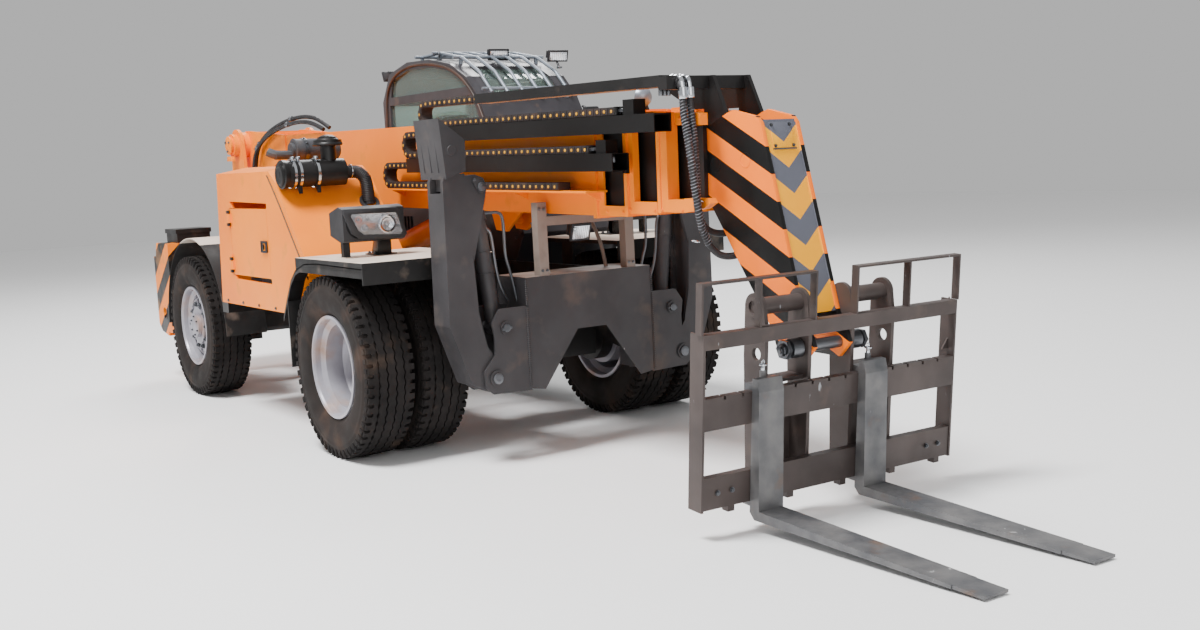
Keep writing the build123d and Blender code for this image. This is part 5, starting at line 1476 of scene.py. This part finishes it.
# ---- boom ----
boom = {
    "pin": (-3.850, 0.400, 1.900),
    "capRadius": 0.075,
    "capBolts": (0.5, 2.6, 4.7),
    "capBoltCircle": 0.048,
    "keeper": ((-0.05, -0.09), (0.05, -0.09), (0.06, -0.13), (-0.06, -0.13)),
    # the two hoses from the chassis to the boom's top
    "hoses": (((-3.530, -0.320, 1.600), (-3.510, -0.318, 1.740), (-3.410, -0.314, 1.860),
               (-3.240, -0.308, 1.935), (-3.020, -0.302, 1.985), (-2.760, -0.296, 2.020),
               (-2.500, -0.288, 2.030), (-2.290, -0.276, 2.005), (-2.190, -0.245, 1.955)),
              ((-3.580, -0.284, 1.600), (-3.560, -0.282, 1.760), (-3.450, -0.280, 1.890),
               (-3.270, -0.276, 1.970), (-3.030, -0.272, 2.025), (-2.750, -0.268, 2.060),
               (-2.470, -0.262, 2.068), (-2.250, -0.250, 2.035), (-2.150, -0.215, 1.965))),
    "hoseRadius": 0.016,
    "clipsAt": (2, 5),
    "clipHalf": 0.020,
    "clipWall": 0.005,
    # canister beside the nose: u of its two ends, y, w, radius
    "canister": (5.754, 5.926, 0.150, 0.128, 0.038),
    "headY": 0.235,
    # name, body, places along the boom, bolts on the sides, height of those on top, size
    "bolts": (
        ("boom_head_bolts", "boom", (5.300, 5.440), (-0.448, 0.022), None, (0.009, 0.007)),
        ("section_2_bolts", "section_2", (5.505, 5.715), (-0.432, 0.010), 0.050, (0.008, 0.006)),
        ("section_3_bolts", "section_3", (5.775, 5.935), (-0.432, 0.010), 0.038, (0.008, 0.006)),
    ),
    "topBoltsY": (-0.14, 0, 0.14),
}


def addPinCaps(b):
    radius = b["capRadius"]
    for hand, sign in sides:
        spot = onSide(b["pin"], sign)
        out = Vector((0, sign, 0))
        cap = addLathe([(-0.04, 0.0), (0.006, 0.0), (0.006, radius * 0.8), (0.0, radius),
                        (-0.012, radius), (-0.04, 0.06)], spot, out, 40)
        keeper = addPlate([spot + Vector((dx, 0, dz)) for dx, dz in b["keeper"]], out * -0.03)
        bolts = addNuts([placeAt(spot + out * 0.006 + Vector((math.cos(turn), 0, math.sin(turn)))
                                 * b["capBoltCircle"], out, (0, 0, 1)) for turn in b["capBolts"]],
                        0.009, 0.008)
        finishPiece([cap, keeper, bolts], "boom_pin_cap_" + hand, "chassis", yellowPaint)


def addRearHoses(b):
    parts = []
    for line in ([fromAxle(*p) for p in hose] for hose in b["hoses"]):
        parts.append(coat(addTube(line, b["hoseRadius"], 10), hoseRubber))
        for index in b["clipsAt"]:
            half = (line[index + 1] - line[index - 1]).normalized() * b["clipHalf"]
            clip = addRod(line[index] - half, line[index] + half,
                          b["hoseRadius"] + b["clipWall"], 0.002, 16)
            parts.append(coat(clip, pinSteel))
    hoses = finishPiece(parts, "boom_rear_hoses", None, hoseRubber, 60)
    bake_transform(hoses)


def addCanister(b):
    u1, u2, y, w, radius = b["canister"]
    axis = alongBoom(1, 0, 0) - alongBoom(0, 0, 0)
    parts = [coat(addBand(alongBoom(u, y, w), axis, radius + 0.0005, radius + 0.0035, 0.006, 40),
                  chrome) for u in (u1 + 0.050, u1 + 0.085, u2 - 0.018)]
    parts.append(addRing(alongBoom(u2, y, w), axis, radius - 0.006, 0.004, 32, 8))
    parts.append(addBar(alongBoom(u1 + 0.06, y - 0.02, w - 0.075),
                        alongBoom(u1 + 0.10, y + 0.02, w - 0.03)))
    finishPiece(parts, "nose_canister_bands", "section_4", blackPaint)


def addBoomBolts(b):
    for name, body, along, sideW, topW, size in b["bolts"]:
        places = []
        for u in along:
            places += [placeAt(alongBoom(u, sign * b["headY"], w), (0, sign, 0), (0, 0, 1))
                       for sign in (-1, 1) for w in sideW]
            if topW is not None:
                places += [placeAt(alongBoom(u, y, topW), (0, 0, 1), (1, 0, 0))
                           for y in b["topBoltsY"]]
        finishPiece(addCopies(nutModel(*size), places), name, body, yellowPaint)


addPinCaps(boom)
addRearHoses(boom)
addCanister(boom)
addBoomBolts(boom)
print("boom ready")

# ---- carriage ----
rack = {
    # rings round the eyes: a, y, b, radius
    "eye": (-0.020, 0.395, 0.205, 0.038),
    "ring": ((0.0, 0.72), (0.010, 0.72), (0.010, 1.16), (0.0, 1.22)),
    "bolts": ((0.1005, 0.60, -0.553), (0.1005, 0.68, -0.553)),
    # gussets in the corners of the end posts: b of each, y and height of the corner
    "gussets": (-0.10, 0.10),
    "gussetY": (0.7575, 0.72),
    "gussetHeight": 0.05,
    "forksY": (-0.430, 0.200),
    # fork lock: from and to along b, radius, edge, steps
    "lock": ((-0.068, -0.030, 0.009, 0.002, 14), (-0.030, -0.022, 0.018, 0.003, 20)),
    "lockA": 0.085,
    # nuts on the ends of the carriage's pin: from and to along y, radius, steps
    "pinNuts": ((0.242, 0.254, 0.030, 6), (0.254, 0.262, 0.016, 16)),
}


def addRack(r):
    a, y, b, radius = r["eye"]
    back = onRack(0.008, 0, 0) - onRack(0, 0, 0)
    parts = []
    for sign in (-1, 1):
        parts.append(addLathe([(along, share * radius) for along, share in r["ring"]],
                              onRack(a, sign * y, b), (0, sign, 0), 40))
        parts.append(addNuts([placeAt(onRack(a2, sign * y2, b2), (1, 0, 0), (0, 0, 1))
                              for a2, y2, b2 in r["bolts"]], 0.010, 0.008))
        y1, y2 = r["gussetY"]
        parts += [addPlate([onRack(0.056, sign * y1, low),
                            onRack(0.056, sign * y1, low + r["gussetHeight"]),
                            onRack(0.056, sign * y2, low)], back, 0) for low in r["gussets"]]
    finishPiece(parts, "carriage_details", "carriage", rackPaint)
    parts = []
    for y in r["forksY"]:
        for low, high, radius, edge, steps in r["lock"]:
            parts.append(addRod(onRack(r["lockA"], y, low), onRack(r["lockA"], y, high), radius,
                                edge, steps))
        parts.append(addRing(onRack(r["lockA"], y, -0.016), (1, 0.3, 0), 0.010, 0.0025, 20, 6))
    finishPiece(parts, "fork_lock_pins", "carriage", chrome)
    parts = [addRod(onRack(0, sign * low, 0), onRack(0, sign * high, 0), radius, 0.003, steps)
             for sign in (-1, 1) for low, high, radius, steps in r["pinNuts"]]
    finishPiece(parts, "carriage_pin_nuts", "carriage", pinSteel)


addRack(rack)
print("carriage ready")

# ---- rear ----
rear = {
    "boss": (-3.960, 1.000, 0.560),
    "bossSection": ((-0.002, 0.045), (0.003, 0.045), (0.003, 0.058), (-0.002, 0.060)),
    "lamp": ((-4.290, 0.700, 0.880), (-4.270, 0.880, 0.950)),
    "lens": ((-4.298, 0.710, 0.888), (-4.286, 0.870, 0.942)),
    "towPin": (-4.235, 0, 1.0155),
    "towSection": ((0.0, 0.027), (0.006, 0.027), (0.006, 0.044), (0.0, 0.048)),
}


def addRear(r):
    parts = []
    for hand, sign in sides:
        parts.append(addLathe(r["bossSection"], onSide(r["boss"], sign), (0, sign, 0), 40))
        body = addBar(*(onSide(p, sign) for p in r["lamp"]), 0.006)
        lens = addBar(*(onSide(p, sign) for p in r["lens"]), 0.004)
        parts += [coat(body, darkPlastic), coat(lens, amberLens)]
    ring = addLathe(r["towSection"], fromAxle(*r["towPin"]), (0, 0, 1), 40)
    finishPiece(parts + [coat(ring, pinSteel)], "rear_details", "chassis", weightPaint)


addRear(rear)
print("rear ready")

# ---- floor and light ----
stage = {
    "floor": 60,
    "floorColor": (0.92, 0.92, 0.92, 1),
    "sky": (1.0, 1.0, 1.0, 1),
    "skyStrength": 0.55,
    # name, place, aim, size, power
    "lamps": (
        ("keyLamp", (1.5, -6.0, 13.0), (0, 0, 1), 4.0, 3800),
        ("fillLamp", (10.0, -3.0, 4.0), (0, 0, 1), 6.0, 260),
        ("backLamp", (-9.0, 5.0, 9.0), (-1, 0, 1), 5.0, 900),
    ),
}


def addStage(s):
    deselectAll()
    bpy.ops.mesh.primitive_plane_add(size=s["floor"], location=(0, 0, cadLow.z))
    floor = bpy.context.object
    floor.name = "floor"
    mat = bpy.data.materials.new("floor")
    mat.use_nodes = True
    shader = mat.node_tree.nodes["Principled BSDF"]
    shader.inputs["Base Color"].default_value = s["floorColor"]
    shader.inputs["Roughness"].default_value = 0.75
    floor.data.materials.append(mat)
    world = bpy.data.worlds.new("studio")
    bpy.context.scene.world = world
    world.use_nodes = True
    world.node_tree.nodes["Background"].inputs[0].default_value = s["sky"]
    world.node_tree.nodes["Background"].inputs[1].default_value = s["skyStrength"]
    for name, place, aim, size, power in s["lamps"]:
        data = bpy.data.lights.new(name, "AREA")
        data.size = size
        data.energy = power
        lamp = bpy.data.objects.new(name, data)
        bpy.context.scene.collection.objects.link(lamp)
        lamp.location = place
        lamp.rotation_euler = (Vector(aim) - Vector(place)).to_track_quat("-Z", "Y").to_euler()


addStage(stage)
print("floor and light ready")
